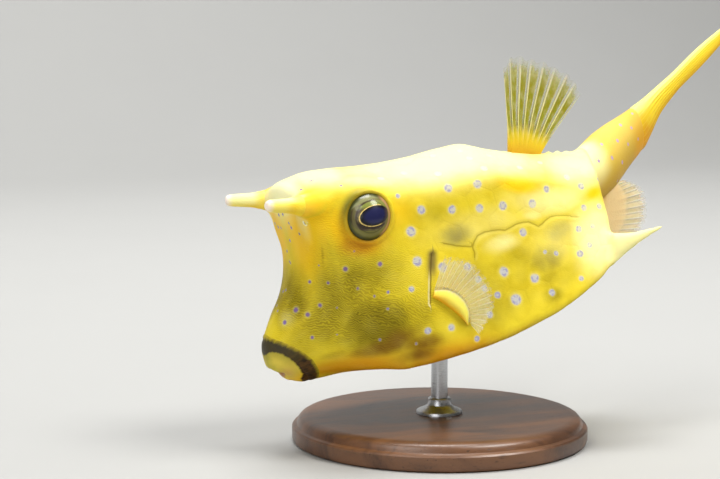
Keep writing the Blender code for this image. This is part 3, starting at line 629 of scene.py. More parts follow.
GRAIN_PATCHES = ((20.0, 19.6, 20.0, 2.4, 1.0), (38.0, 18.6, 12.0, 1.6, 0.9), (8.0, 22.0, 8.0, 2.6, 0.7),
                 (70.0, 19.0, 50.0, 3.0, 0.15))
RIM_PALENESS = 0.62                # of the rear face's edge
# Small bumps on the back before the tail's stalk: length, row, height.
TUBERCLES = ((104.6, 24.0, 0.7), (106.9, 23.97, 0.8), (109.4, 24.0, 0.6), (101.8, 24.02, 0.4))


def left_row(rows):
    """The row's like on the left side."""
    return np.where(rows < BELLY_ROW, ROWS - rows, rows)


def patches(table, lengths, rows):
    """How strong the soft patches are at each place."""
    rows = left_row(rows)
    total = np.zeros(len(lengths))
    for length, row, half_length, half_rows, strength in table:
        for middle in (row, 2 * ROWS - row):
            away = ((lengths - length) / half_length) ** 2 + ((rows - middle) / half_rows) ** 2
            total = np.maximum(total, strength * np.exp(-(away**1.2)))
    return total


def marks_on_shell(marks, seed):
    """Places of marks on both sides of the shell, with their sizes."""
    table = np.array(marks)
    shift = np.random.default_rng(seed).uniform(-1.0, 1.0, (len(table), 2)) * (2.2, 0.22)
    right = np.stack((table[:, 0] + shift[:, 0], ROWS - table[:, 1] + shift[:, 1], table[:, 2]), axis=-1)
    both = np.concatenate((table, right))
    return shell_points(both[:, 0], both[:, 1]), both[:, 2]


def marks_on_stalk(seed):
    places, sizes = [], []
    rng = np.random.default_rng(seed)
    for side in (-1, 1):
        for distance, turn, size in STALK_DOTS:
            distance += (side + 1) * rng.uniform(-1.5, 1.5)
            centre, across, up, thick, high = stalk_ring(distance)
            angle = math.radians(turn) * -side
            places.append(centre + across * (thick * math.sin(angle)) + up * (high * math.cos(angle)))
            sizes.append(size)
    return np.array(places), np.array(sizes)


def nearest_mark(points, places, sizes, radius):
    """Distance to the nearest mark, in its own radius."""
    best = np.full(len(points), 9.0)
    for place, size in zip(places, sizes):
        best = np.minimum(best, np.linalg.norm(points - place, axis=1) / (radius * size))
    return best


def path_distance(points, normals, path):
    """Distance to a path on both sides of the shell, and how far along it.

    It is above zero on the back's side of a path to the tail, and on the tail's side of one to the belly.
    """
    best, along = np.full(len(points), 99.0), np.zeros(len(points))
    table = np.array(path)
    for side, rows in ((-1, table[:, 1]), (1, ROWS - table[:, 1])):
        line = shell_points(table[:, 0], rows)
        for k in range(len(line) - 1):
            step = line[k + 1] - line[k]
            t = np.clip(((points - line[k]) @ step) / (step @ step), 0.0, 1.0)
            away = points - line[k] - t[:, None] * step
            far = np.linalg.norm(away, axis=1)
            nearer = far < np.abs(best)
            along = np.where(nearer, (k + t) / (len(line) - 1), along)
            best = np.where(nearer, far * np.sign((np.cross(step, away) * normals).sum(1)) * -side, best)
    return best, along


def soften_joins(skin, bodies):
    """Rounds the hollows where bodies leave the shell, each with its reach and rounds of smoothing."""
    for body_points, reach, rounds in bodies:
        points = to_fish(vertex_array(skin))
        tree = search_tree(body_points)
        to_body = np.array([tree.find(p)[2] for p in points])
        near = np.nonzero(to_body < 2.2 * reach)[0]
        _, _, height = SHELL_MAP.find(points[near])
        weights = np.exp(-((to_body[near] / reach) ** 2) - (height / reach) ** 2)
        group = skin.vertex_groups.new(name="join")
        for i, w in zip(near, weights):
            if w > 0.02:
                group.add((int(i),), float(w), "REPLACE")
        with_modifier(skin, "SMOOTH", factor=0.5, iterations=rounds, vertex_group="join")
        skin.vertex_groups.remove(skin.vertex_groups["join"])


def fleshed_body():
    """Shell, stalk, horn feet, spines and eye rims as one mesh, with soft hollows between them."""
    stalk = stalk_body()
    horns, spines = [horn_flesh(side) for side in (1, -1)], [spine_body(side) for side in (1, -1)]
    hollows = [(to_fish(vertex_array(obj)), reach, rounds) for obj, reach, rounds in
               [(stalk, 5.5, 110)] + [(obj, 3.2, 40) for obj in horns] + [(obj, 3.4, 60) for obj in spines]]
    skin = joined([rolled_shell(), stalk] + horns + spines + [eye_rim(1), eye_rim(-1)], "skin")
    with_modifier(skin, "REMESH", mode="VOXEL", voxel_size=SKIN_VOXEL * MM)
    with_modifier(skin, "SMOOTH", factor=0.5, iterations=SKIN_SMOOTHING)
    soften_joins(skin, hollows)
    return skin


def fine_lines(points, normals):
    """Distances from the flank's crease, the gill slit and the nostrils' fold, and how far along them."""
    crease, along_crease = path_distance(points, normals, CREASE)
    branch, _ = path_distance(points, normals, CREASE_BRANCH)
    crease = np.where(np.abs(branch) < np.abs(crease), branch, crease)
    slit, down_slit = path_distance(points, normals, GILL_SLIT)
    fold, _ = path_distance(points, normals, NOSTRIL_FOLD)
    return crease, along_crease, slit, down_slit, fold


def skin_relief(points, lengths, rows, on_shell, lines):
    """How far the plates, the lines' folds and the bumps rise at each point."""
    crease, _, slit, down_slit, fold = lines
    edge = plate_place(lengths, rows)
    plates = smooth_step(edge, 0.0, 0.16) * (PLATE_RISE + GROOVE_DEPTH) - GROOVE_DEPTH + 0.05 * edge
    relief = plates * smooth_step(lengths, *PLATE_FADE)
    relief += 0.04 * hump(crease, 0.8, -1.0) - 0.08 * hump(crease, 0.5)
    relief += 0.25 * hump(slit, 0.8, -1.1) - 0.6 * (1 - 0.6 * smooth_step(down_slit, 0.2, 0.5)) * hump(slit, 0.6)
    relief += 0.12 * hump(fold, 0.9)
    relief *= on_shell
    for length, row, rise in TUBERCLES:
        away = points - shell_points(np.array((length,)), np.array((row,)))[0]
        relief += rise * hump(np.linalg.norm(away, axis=1), 0.85)
    return relief


def pale_places(points, normals, lengths, rows, height, behind, horn_foot):
    """How pale the skin is: its patches, rear rim and spines, and the roots of stalk and horns. Part of it is painted
    light: the horn roots' upper and inner sides and some of the patches.
    """
    x, y, z = points.T
    aside = np.abs(y)
    from_rim, low = stalk_place(points)
    spine_tips = (0.9 * smooth_step(aside, 12.0, 19.0) * smooth_step(behind, -4.0, 0.0)
                  * (1 - smooth_step(z, 2.0, 9.0)))
    beside_stalk = aside - np.maximum(x - STALK_HOLE[1], 0.0)
    stalk_root = (0.95 * smooth_step(behind, -0.2, 0.6) * (1 - smooth_step(beside_stalk, 9.0, STALK_HOLE[0]))
                  * (1 - smooth_step(from_rim, 2.0, 15.0)) * (1 - smooth_step(low, -0.1, 0.7)))
    # Painted light: the horns' fleshy roots are paler on their upper and inner sides.
    upward = normals[:, 2] - 1.2 * normals[:, 1] * np.sign(y)
    lit_horn_roots = 0.8 * smooth_step(height, 0.2, 2.5) * smooth_step(upward, -0.5, 0.7) * (x < -30.0) * (z > 22.0)
    rim, past_rim = smooth_step(behind, -0.8, 0.0), 1 - smooth_step(behind, 0.5, 2.0)
    pale = patches(PALE_AND_LIT_PATCHES, lengths, rows) * (1 - 0.9 * patches(REAR_GOLD, lengths, rows))
    pale = pale * (1 - rim) + RIM_PALENESS * rim * past_rim
    return np.maximum.reduce([pale, spine_tips, stalk_root, lit_horn_roots, 0.22 * horn_foot])


def stalk_place(points):
    """Distance along the tail's stalk, and how low the points are on it, from -1 to 1."""
    start, _ = rear_point(STALK_SHARE, 0.0)
    from_rim = (points - start) @ tail_frame()[0]
    return from_rim, -(points[:, 2] - start[2] - STALK_CLIMB * from_rim) / STALK_HALF_HEIGHT


def round_eyes(skin, points):
    """Keeps the distance from the eyes, in mm, and the shaded and the warm side of the skin round them."""
    eye, shade, warm = np.full(len(points), 99.0), np.zeros(len(points)), np.zeros(len(points))
    for side in (1, -1):
        centre, out, tailward, up = eye_frame(side)
        short, long = eye_axes(side)
        away = points - centre
        across, along = away @ short / (short @ short), away @ long / (long @ long)
        round_eye = np.where(away @ out > 0, np.hypot(across, along), 99.0)
        eye = np.minimum(eye, round_eye)
        turn = np.arctan2(away @ up, away @ tailward)
        for held, middle, spread, reach in ((shade, 2.6, 1.0, 2.2), (warm, -1.9, 1.1, 3.2)):
            off = np.abs((turn - middle + math.pi) % (2 * math.pi) - math.pi)
            share = hump(off, spread) * hump(np.clip(round_eye - 7.2, 0, None), reach)
            np.maximum(held, np.where(round_eye < 20, share, 0.0), out=held)
    keep_values(skin, eye_ring=eye, eye_shade=shade, eye_warm=warm)


def make_skin(mat):
    """One skin over head, trunk, rump, tail stalk and spines, with the values that its finish reads."""
    skin = fleshed_body()
    points = to_fish(vertex_array(skin))
    normals = normal_array(skin) @ fish_axes()
    lengths, rows, height = SHELL_MAP.find(points)
    belly, _, rear, _ = section_plane(SECTIONS[-1])
    behind = (points - belly) @ rear
    on_shell = (1 - smooth_step(np.abs(height), 0.6, 1.4)) * (1 - smooth_step(behind, -0.7, -0.1))
    lines = crease, along_crease, slit, down_slit, fold = fine_lines(points, normals)
    relief = skin_relief(points, lengths, rows, on_shell, lines)
    set_vertices(skin, to_model(points + normals * relief[:, None]))

    x, y, z = points.T
    horn_foot = smooth_step(height, -0.3, 2.6) * smooth_step(-x, 31.0, 36.0) * smooth_step(z, 17.0, 21.0)
    for name, table in (("gold", GOLD_PATCHES), ("olive", OLIVE_PATCHES), ("brown", BROWN_PATCHES),
                        ("ochre", OCHRE_PATCHES), ("grain", GRAIN_PATCHES)):
        strength = patches(table, lengths, rows) * on_shell
        keep_values(skin, **{name: np.maximum(strength, 0.95 * horn_foot) if name == "gold" else strength})
    keep_values(skin, pale=pale_places(points, normals, lengths, rows, height, behind, horn_foot),
                # Painted light on the front of the forehead between the horns.
                brow=(smooth_step(z, 25.0, 29.0) * smooth_step(-x, 42.0, 45.5)
                      * (1 - smooth_step(np.abs(y), 9.0, 14.0))))

    dots = [np.concatenate(both) for both in zip(marks_on_shell(DOTS, 5), marks_on_stalk(7))]
    keep_values(skin, spot=nearest_mark(points, *marks_on_shell(SPOTS, 3), SPOT_RADIUS),
                dot=nearest_mark(points, *dots, DOT_RADIUS))
    for name, far, reach in (("crease", crease, 2.2), ("slit", slit, 3.4), ("fold", fold, 2.2)):
        keep_values(skin, **{"near_" + name: 1 - smooth_step(np.abs(far), 0.3 * reach, reach)})
    fading = np.where(crease < 0, -1.0, 1.0) * 0.3 * smooth_step(along_crease, 0.75, 1.0)
    keep_values(skin, crease=crease + fading, slit=slit, down_slit=down_slit, fold=fold, on_shell=on_shell)

    from_rim, low = stalk_place(points)
    foot = STALK_HOLE[0] + np.maximum(x - STALK_HOLE[1], 0.0)
    on_stalk = smooth_step(behind, 0.2, 3.0) * (np.abs(y) < foot)
    keep_values(skin, stalk=on_stalk * (0.2 + np.clip(from_rim / STALK_LENGTH, 0.0, 1.0)),
                stalk_low=on_stalk * smooth_step(low, -0.7, 0.5))
    round_eyes(skin, points)

    corners = corner_vertices(skin)
    plate_x = ((lengths - PLATE_START) / PLATE_LONG)[corners]
    plate_y = unbroken(skin, rows[corners], ROWS)
    corner_map(skin, "plates", np.stack((plate_x, plate_y * PLATE_PITCH), axis=-1))
    smooth(skin)
    return finish_piece(skin, mat, "skin", "head", "trunk", "rump", "tail_stalk", "spine_left", "spine_right")


SHELL_MAP = ShellMap()


# ---------------------------------------------------------------- shader nodes

def paint(red, green, blue):
    """A colour given by its three shares of 255, as a screen shows it."""
    return tuple(((c / 255 + 0.055) / 1.055) ** 2.4 if c > 10 else c / 3294.6 for c in (red, green, blue)) + (1.0,)


class Nodes:
    """Adds nodes to a material or to a node group, one after the other."""

    def __init__(self, tree):
        self.tree = tree

    def put(self, socket, value):
        if isinstance(value, bpy.types.NodeSocket):
            self.tree.links.new(value, socket)
        elif value is not None:
            socket.default_value = value

    def add(self, kind, inputs=(), **settings):
        node = self.tree.nodes.new(kind)
        for key, value in settings.items():
            setattr(node, key, value)
        for key, value in dict(inputs).items():
            self.put(node.inputs[key], value)
        return node

    def math(self, operation, a, b=None, c=None, clamp=False):
        node = self.add("ShaderNodeMath", operation=operation, use_clamp=clamp)
        for socket, value in zip(node.inputs, (a, b, c)):
            self.put(socket, value)
        return node.outputs[0]

    def times(self, first, *others):
        for other in others:
            first = self.math("MULTIPLY", first, other)
        return first

    def line(self, value, factor, start):
        """The value times the factor, plus the start."""
        return self.math("MULTIPLY_ADD", value, factor, start)

    def size(self, value):
        return self.math("ABSOLUTE", value)

    def vector(self, operation, a, b=None, c=None, scale=None):
        node = self.add("ShaderNodeVectorMath", operation=operation)
        for socket, value in zip(node.inputs, (a, b, c)):
            self.put(socket, value)
        if scale is not None:
            self.put(node.inputs["Scale"], scale)
        return node.outputs["Value" if operation in ("DOT_PRODUCT", "LENGTH", "DISTANCE") else "Vector"]

    def fade(self, value, start, end, low=0.0, high=1.0):
        """Goes from low to high while the value goes from start to end."""
        return self.add("ShaderNodeMapRange", {"Value": value, "From Min": start, "From Max": end, "To Min": low,
                                               "To Max": high}, interpolation_type="SMOOTHSTEP").outputs["Result"]

    def mix(self, share, first, second, blend="MIX"):
        node = self.add("ShaderNodeMix", data_type="RGBA", blend_type=blend)
        for index, value in ((0, share), (6, first), (7, second)):
            self.put(node.inputs[index], value)
        return node.outputs[2]

    def over(self, colour, tone, *shares):
        """A tone laid over a colour, as strong as the product of its shares."""
        return self.mix(self.times(*shares), colour, tone)

    def noise(self, place, scale, detail=2.0, roughness=0.5, distortion=0.0):
        return self.add("ShaderNodeTexNoise", {"Vector": place, "Scale": scale, "Detail": detail,
                                               "Roughness": roughness, "Distortion": distortion}).outputs["Fac"]

    def cells(self, place, scale, feature="F1", smoothness=None):
        node = self.add("ShaderNodeTexVoronoi", {"Vector": place, "Scale": scale}, feature=feature)
        if smoothness is not None:
            node.inputs["Smoothness"].default_value = smoothness
        return node.outputs["Distance"]

    def value(self, name):
        return self.add("ShaderNodeAttribute", attribute_name=name).outputs["Fac"]

    def uv(self, name):
        return self.add("ShaderNodeUVMap", uv_map=name).outputs["UV"]

    def flat(self, x, y):
        return self.add("ShaderNodeCombineXYZ", {"X": x, "Y": y}).outputs[0]

    def group(self, tree, **inputs):
        return self.add("ShaderNodeGroup", inputs, node_tree=tree).outputs

    def place(self):
        return self.add("ShaderNodeTexCoord").outputs["Object"]

    def bump(self, height, distance, strength=1.0, normal=None):
        return self.add("ShaderNodeBump", {"Height": height, "Distance": distance, "Strength": strength,
                                           "Normal": normal}).outputs["Normal"]

    def shade(self, colour, roughness, normal=None, others=()):
        """Sets the inputs of the material's shader."""
        shader = self.tree.nodes["Principled BSDF"]
        inputs = {"Base Color": colour, "Roughness": roughness, "Normal": normal, **dict(others)}
        for key, value in inputs.items():
            self.put(shader.inputs[key], value)


def effect(name, inputs, outputs):
    """An empty node group with named inputs and outputs, its nodes, and its two ends."""
    tree = bpy.data.node_groups.new(name, "ShaderNodeTree")
    for key, kind in inputs:
        tree.interface.new_socket(key, in_out="INPUT", socket_type="NodeSocket" + kind)
    for key, kind in outputs:
        tree.interface.new_socket(key, in_out="OUTPUT", socket_type="NodeSocket" + kind)
    nodes = Nodes(tree)
    return tree, nodes, nodes.add("NodeGroupInput").outputs, nodes.add("NodeGroupOutput").inputs


def finish(name):
    """A new material and its nodes."""
    mat = bpy.data.materials.new(name)
    mat.use_nodes = True
    return mat, Nodes(mat.node_tree)


def skin_grain():
    """Fine lines like a fingerprint, granules, and broad mottling."""
    tree, nodes, given, out = effect("skin grain", [("Place", "Vector")],
                                     [("Lines", "Float"), ("Granules", "Float"), ("Mottling", "Float")])
    place = given["Place"]
    flow = nodes.times(nodes.noise(place, 90.0, 0.0), 60.0)
    flow = nodes.line(nodes.noise(place, 620.0, 1.0), 19.0, flow)
    flow = nodes.math("ADD", flow, nodes.vector("DOT_PRODUCT", place, (3600.0, 1200.0, 10200.0)))
    nodes.put(out["Lines"], nodes.line(nodes.math("SINE", flow), 0.5, 0.5))
    grains = nodes.cells(place, 1900.0, "SMOOTH_F1", 0.4)
    nodes.put(out["Granules"], nodes.math("SUBTRACT", 1.0, grains, clamp=True))
    nodes.put(out["Mottling"], nodes.noise(place, 85.0, 4.0, 0.6))
    return tree


def plate_sutures():
    """Distance from the nearest edge between six-sided plates, from a map in plate lengths."""
    tree, nodes, given, out = effect("plate sutures", [("Plates", "Vector")], [("Edge", "Float")])
    half = (0.5, PLATE_PITCH, 1.0)
    edges = []
    for shift in ((0.0, 0.0, 0.0), half):
        moved = nodes.vector("ADD", given["Plates"], shift)
        away = nodes.vector("ABSOLUTE", nodes.vector("WRAP", moved, half, tuple(-c for c in half)))
        slanted = nodes.vector("DOT_PRODUCT", away, (0.5, PLATE_PITCH, 0.0))
        straight = nodes.vector("DOT_PRODUCT", away, (1.0, 0.0, 0.0))
        edges.append(nodes.math("SUBTRACT", 0.5, nodes.math("MAXIMUM", slanted, straight)))
    nodes.put(out["Edge"], nodes.math("MAXIMUM", *edges))
    return tree


def fin_rays():
    """Masks of a fin: its rays, and the coloured band that runs beside each of them."""
    tree, nodes, given, out = effect("fin rays", [("Ray", "Float"), ("Along", "Float")],
                                     [("Line", "Float"), ("Band", "Float")])
    across = nodes.math("WRAP", given["Ray"], 0.5, -0.5)
    wide = nodes.line(given["Along"], 0.02, 0.05)
    line = nodes.math("DIVIDE", nodes.size(across), wide)
    nodes.put(out["Line"], nodes.fade(line, 1.5, 0.8))
    beside = nodes.math("FRACT", given["Ray"])
    reach = nodes.line(given["Along"], 0.1, 0.6)
    nodes.put(out["Band"], nodes.math("MAXIMUM", nodes.fade(nodes.math("DIVIDE", beside, reach), 1.15, 0.9),
                                      nodes.fade(beside, 0.93, 0.98)))
    return tree


GRAIN = skin_grain()
SUTURES = plate_sutures()
RAYS = fin_rays()


def plate_paint(nodes, colour, place):
    """Dark seams between the plates, and a lighter middle in each. Gives the seams' mask too."""
    bend = nodes.add("ShaderNodeTexNoise", {"Vector": place, "Scale": 150.0, "Detail": 1.0}).outputs["Color"]
    bend = nodes.vector("SCALE", nodes.vector("SUBTRACT", bend, (0.5, 0.5, 0.5)), scale=0.12)
    edge = nodes.group(SUTURES, Plates=nodes.vector("ADD", nodes.uv("plates"), bend))["Edge"]
    on_shell = nodes.value("on_shell")
    suture = nodes.times(nodes.fade(edge, 0.055, 0.0), on_shell,
                         nodes.fade(nodes.noise(place, 90.0, 2.0), 0.42, 0.7))
    colour = nodes.over(colour, paint(160, 138, 30), suture, 0.09)
    return nodes.over(colour, paint(255, 246, 140), nodes.fade(edge, 0.1, 0.5), on_shell, 0.04), suture


def cheek_paint(nodes, colour, lines):
    """Fine wavy lines, light and dark."""
    share = nodes.value("grain")
    colour = nodes.over(colour, paint(228, 208, 40), lines, share, 0.4)
    return nodes.over(colour, paint(90, 74, 6), nodes.math("SUBTRACT", 1.0, lines), share, 0.16)


def crease_paint(nodes, colour, wander):
    """The nostrils' fold with a painted highlight along it, and the flank's dark crease, partly painted shade in its
    groove, with a painted highlight below it.
    """
    fold = nodes.fade(nodes.size(nodes.value("fold")), 0.95, 0.2)
    # Painted highlight along the nostrils' fold.
    colour = nodes.over(colour, paint(255, 244, 150), fold, nodes.value("near_fold"), 0.3)
    crease, near = nodes.line(wander, 0.35, nodes.value("crease")), nodes.value("near_crease")
    # Painted highlight along the crease's lower edge.
    colour = nodes.over(colour, paint(252, 240, 130), nodes.fade(crease, -1.6, -0.6),
                        nodes.fade(crease, 0.0, -0.45), near, 0.14)
    crease = nodes.size(crease)
    # The crease's dark line and its halo, partly painted shade in the groove.
    colour = nodes.over(colour, paint(160, 140, 20), nodes.fade(crease, 1.2, 0.2), near, 0.24)
    return nodes.over(colour, paint(118, 100, 14), nodes.fade(crease, 0.36, 0.08), near, 0.46)


def spot_paint(nodes, colour, place, wander, pale):
    """Blue-grey spots with a light halo and a broken violet hoop, fainter where the skin is pale."""
    spot = nodes.line(wander, 0.5, nodes.value("spot"))
    colour = nodes.over(colour, paint(248, 240, 150), nodes.fade(spot, 1.7, 1.0), 0.14)
    colour = nodes.over(colour, paint(184, 186, 196), nodes.fade(spot, 1.18, 0.62),
                        nodes.line(pale, -0.6, 1.0), 0.85)
    hoop = nodes.times(nodes.fade(spot, 0.98, 0.7), nodes.fade(spot, 0.25, 0.55),
                       nodes.fade(nodes.noise(place, 900.0, 2.0, 0.5, 1.0), 0.4, 0.58))
    return nodes.over(colour, paint(124, 120, 176), hoop, nodes.line(pale, -0.2, 0.62))


def dot_paint(nodes, colour, place, dot):
    """Small violet dots on the face, each in a dull halo."""
    colour = nodes.over(colour, paint(206, 200, 130), nodes.fade(dot, 1.7, 1.0), 0.3)
    patchy = nodes.fade(nodes.noise(place, 45.0), 0.44, 0.56)
    tone = nodes.mix(patchy, paint(112, 104, 196), paint(120, 92, 150))
    return nodes.over(colour, tone, nodes.fade(dot, 1.1, 0.55), 0.9)


def stalk_paint(nodes, colour, dot, pale):
    """The tail's stalk: sandy, with painted shade brown along its lower side, and ochre at its end, partly painted
    shade where the tail fin leaves it, with lilac dots.
    """
    stalk, low = nodes.value("stalk"), nodes.value("stalk_low")
    colour = nodes.over(colour, paint(224, 192, 96), nodes.fade(stalk, 0.02, 0.5, 0.0, 0.85),
                        nodes.line(pale, -0.9, 1.0))
    # Painted shade: brown on the stalk's lower side.
    colour = nodes.over(colour, paint(192, 150, 38), low, 0.86)
    # Ochre at the stalk's end, stronger below, partly painted shade where the tail fin leaves it.
    colour = nodes.over(colour, paint(222, 158, 22), nodes.fade(stalk, 0.86, 1.1),
                        nodes.line(low, 0.7, 0.3), 0.9)
    return nodes.over(colour, paint(184, 156, 196), nodes.fade(dot, 1.0, 0.7),
                      nodes.fade(stalk, 0.02, 0.1), 0.8)


def round_eye_paint(nodes, colour):
    """The skin round the eye: warm on one side, with painted shade on the other, and a dark painted shadow inside the
    rim.
    """
    away = nodes.value("eye_ring")
    colour = nodes.over(colour, paint(196, 116, 6), nodes.value("eye_warm"), 0.55)
    colour = nodes.over(colour, paint(84, 86, 16), nodes.value("eye_shade"),
                        nodes.fade(away, 10.6, 7.5), 0.9)
    colour = nodes.over(colour, paint(160, 130, 34), nodes.fade(away, 7.5, 6.9), 0.4)
    # Painted shadow inside the rim, where the skin meets the ball.
    return nodes.over(colour, paint(64, 60, 24), nodes.fade(away, 6.7, 6.2))


def slit_paint(nodes, colour, wander):
    """The gill slit: a painted highlight on its flap's edge, a brown painted shadow at its top and painted shade
    along its dark line.
    """
    slit, down_slit = nodes.line(wander, 0.25, nodes.value("slit")), nodes.value("down_slit")
    near = nodes.value("near_slit")
    # Painted highlight along the flap's edge.
    flap_highlight = nodes.fade(nodes.size(nodes.math("ADD", slit, 0.7)), 0.5, 0.1, 0.0, 0.5)
    colour = nodes.over(colour, paint(236, 234, 196), flap_highlight, near, nodes.fade(down_slit, 0.2, 0.5))
    slit = nodes.size(slit)
    # Painted shadow: a brown smear at the slit's top.
    colour = nodes.over(colour, paint(104, 90, 56), nodes.fade(slit, 2.8, 0.4), nodes.fade(down_slit, 0.55, 0.2),
                        near, 0.8)
    # Painted shade along the slit's dark line.
    return nodes.over(colour, paint(96, 78, 30), nodes.fade(slit, 0.4, 0.1), near, 0.7)


# The skin's broad tones, one over the other: value, how uneven its edge is, colour. The pale tone is partly painted
# light.
SKIN_TONES = (("gold", 0.3, paint(246, 196, 10)), ("ochre", 0.3, paint(206, 144, 10)),
              ("olive", 0.8, paint(120, 104, 2)), ("brown", 0.6, paint(112, 70, 4)),
              ("pale", 0.35, paint(252, 244, 168)))


def skin_finish():
    mat, nodes = finish("cowfish skin")
    place = nodes.place()
    grain = nodes.group(GRAIN, Place=place)
    wander = nodes.line(nodes.noise(place, 420.0, 2.0), 0.9, -0.45)
    uneven = nodes.line(nodes.noise(place, 160.0, 3.0), 1.5, -0.75)
    pale, dot = nodes.value("pale"), nodes.line(wander, 0.3, nodes.value("dot"))

    colour = nodes.mix(nodes.fade(grain["Mottling"], 0.35, 0.68), paint(226, 203, 46), paint(210, 185, 30))
    for name, amount, tone in SKIN_TONES:
        share = nodes.value(name)
        share = nodes.line(nodes.times(uneven, amount), share, share)
        colour = nodes.over(colour, tone, nodes.fade(share, 0.06, 0.95))
    # Painted light over the front of the forehead between the horns, which the lamps leave in shade.
    colour = nodes.over(colour, paint(255, 252, 200), nodes.value("brow"), 0.8)
    colour, suture = plate_paint(nodes, colour, place)
    colour = cheek_paint(nodes, colour, grain["Lines"])
    colour = crease_paint(nodes, colour, wander)
    colour = spot_paint(nodes, colour, place, wander, pale)
    colour = dot_paint(nodes, colour, place, dot)
    colour = stalk_paint(nodes, colour, dot, pale)
    colour = round_eye_paint(nodes, colour)
    colour = slit_paint(nodes, colour, wander)

    height = nodes.times(nodes.value("grain"), grain["Lines"], 0.8)
    height = nodes.math("ADD", height, nodes.times(grain["Granules"], 0.25))
    nodes.shade(colour, nodes.line(grain["Granules"], -0.12, 0.56),
                nodes.bump(nodes.line(suture, -0.4, height), 0.00012, 0.7),
                {"Subsurface Weight": 0.08, "Subsurface Radius": (1.0, 0.6, 0.1), "Subsurface Scale": 0.002,
                 "Specular IOR Level": 0.16})
    return mat


def horn_finish():
    mat, nodes = finish("cowfish horn")
    place = nodes.place()
    grain = nodes.group(GRAIN, Place=place)
    from_tip = nodes.line(grain["Mottling"], 2.0, nodes.value("from_tip"))
    side = nodes.mix(nodes.fade(from_tip, 5.0, 11.5), paint(254, 236, 110), paint(246, 200, 20))
    # Painted light: the horn is paler where its surface faces up and inwards.
    colour = nodes.mix(nodes.fade(nodes.value("top"), -0.5, 0.7), side, paint(253, 246, 166))
    colour = nodes.over(colour, paint(252, 222, 66), nodes.fade(from_tip, 8.4, 11.6, 0.0, 0.75))
    colour = nodes.over(colour, paint(240, 220, 100), grain["Lines"], 0.1)
    colour = nodes.mix(nodes.fade(from_tip, 1.0, 3.4), paint(252, 236, 222), colour)
    nodes.shade(colour, nodes.line(grain["Granules"], -0.12, 0.5), nodes.bump(grain["Lines"], 0.00005, 0.6),
                {"Subsurface Weight": 0.08, "Subsurface Radius": (1.0, 0.7, 0.3), "Subsurface Scale": 0.002,
                 "Specular IOR Level": 0.2})
    return mat


def lips_finish():
    mat, nodes = finish("cowfish lips")
    place = nodes.place()
    grain = nodes.group(GRAIN, Place=place)
    lip, height_up, inside = (nodes.value(key) for key in ("lip", "height_up", "inside"))
    streak = nodes.noise(nodes.vector("MULTIPLY", nodes.uv("round_out"), (60.0, 0.35, 0.0)), 1.0, 3.0, 0.6)
    ragged = nodes.line(streak, 1.8, -0.9)
    band = nodes.mix(nodes.fade(streak, 0.36, 0.64), paint(42, 28, 12), paint(86, 58, 22))
    band = nodes.over(band, paint(40, 35, 42), nodes.fade(height_up, 0.0, 6.5))
    lips = nodes.mix(nodes.fade(grain["Mottling"], 0.35, 0.65), paint(180, 170, 54), paint(220, 198, 74))
    # The lower lip's golden yellow, brightened as painted light where it faces down.
    lips = nodes.over(lips, paint(244, 196, 30), nodes.fade(height_up, -1.5, -6.0))
    lips = nodes.over(lips, paint(208, 156, 88), nodes.value("corner"), 0.6)
    colour = nodes.mix(nodes.fade(nodes.line(ragged, 0.5, lip), -0.3, 0.5), band, lips)
    # Painted shade on the upper lip, just under the dark band.
    colour = nodes.over(colour, paint(96, 86, 34), nodes.fade(lip, 3.4, 0.2),
                        nodes.fade(height_up, -1.5, 2.5), 0.36)
    start = nodes.math("ADD", nodes.value("from_edge"), ragged)
    colour = nodes.mix(nodes.fade(start, -0.2, 1.3), paint(178, 158, 30), colour)
    colour = nodes.over(colour, paint(206, 158, 84), nodes.fade(inside, 0.1, 1.0, 0.0, 0.7))
    colour = nodes.over(colour, paint(188, 136, 84), nodes.fade(inside, 1.0, 2.0))
    height = nodes.line(grain["Granules"], 0.3, streak)
    nodes.shade(colour, nodes.line(streak, 0.2, 0.4), nodes.bump(height, 0.00022, 0.7),
                {"Subsurface Weight": 0.06, "Subsurface Scale": 0.0015, "Specular IOR Level": 0.2})
    return mat


# The pupil: its middle across and up, its half-length and half-height, its lean and its blunt end.
PUPIL_MIDDLE, PUPIL_HALVES, PUPIL_LEAN, PUPIL_END = (0.95, 0.3), (4.5, 2.75), math.radians(15.0), 5.1


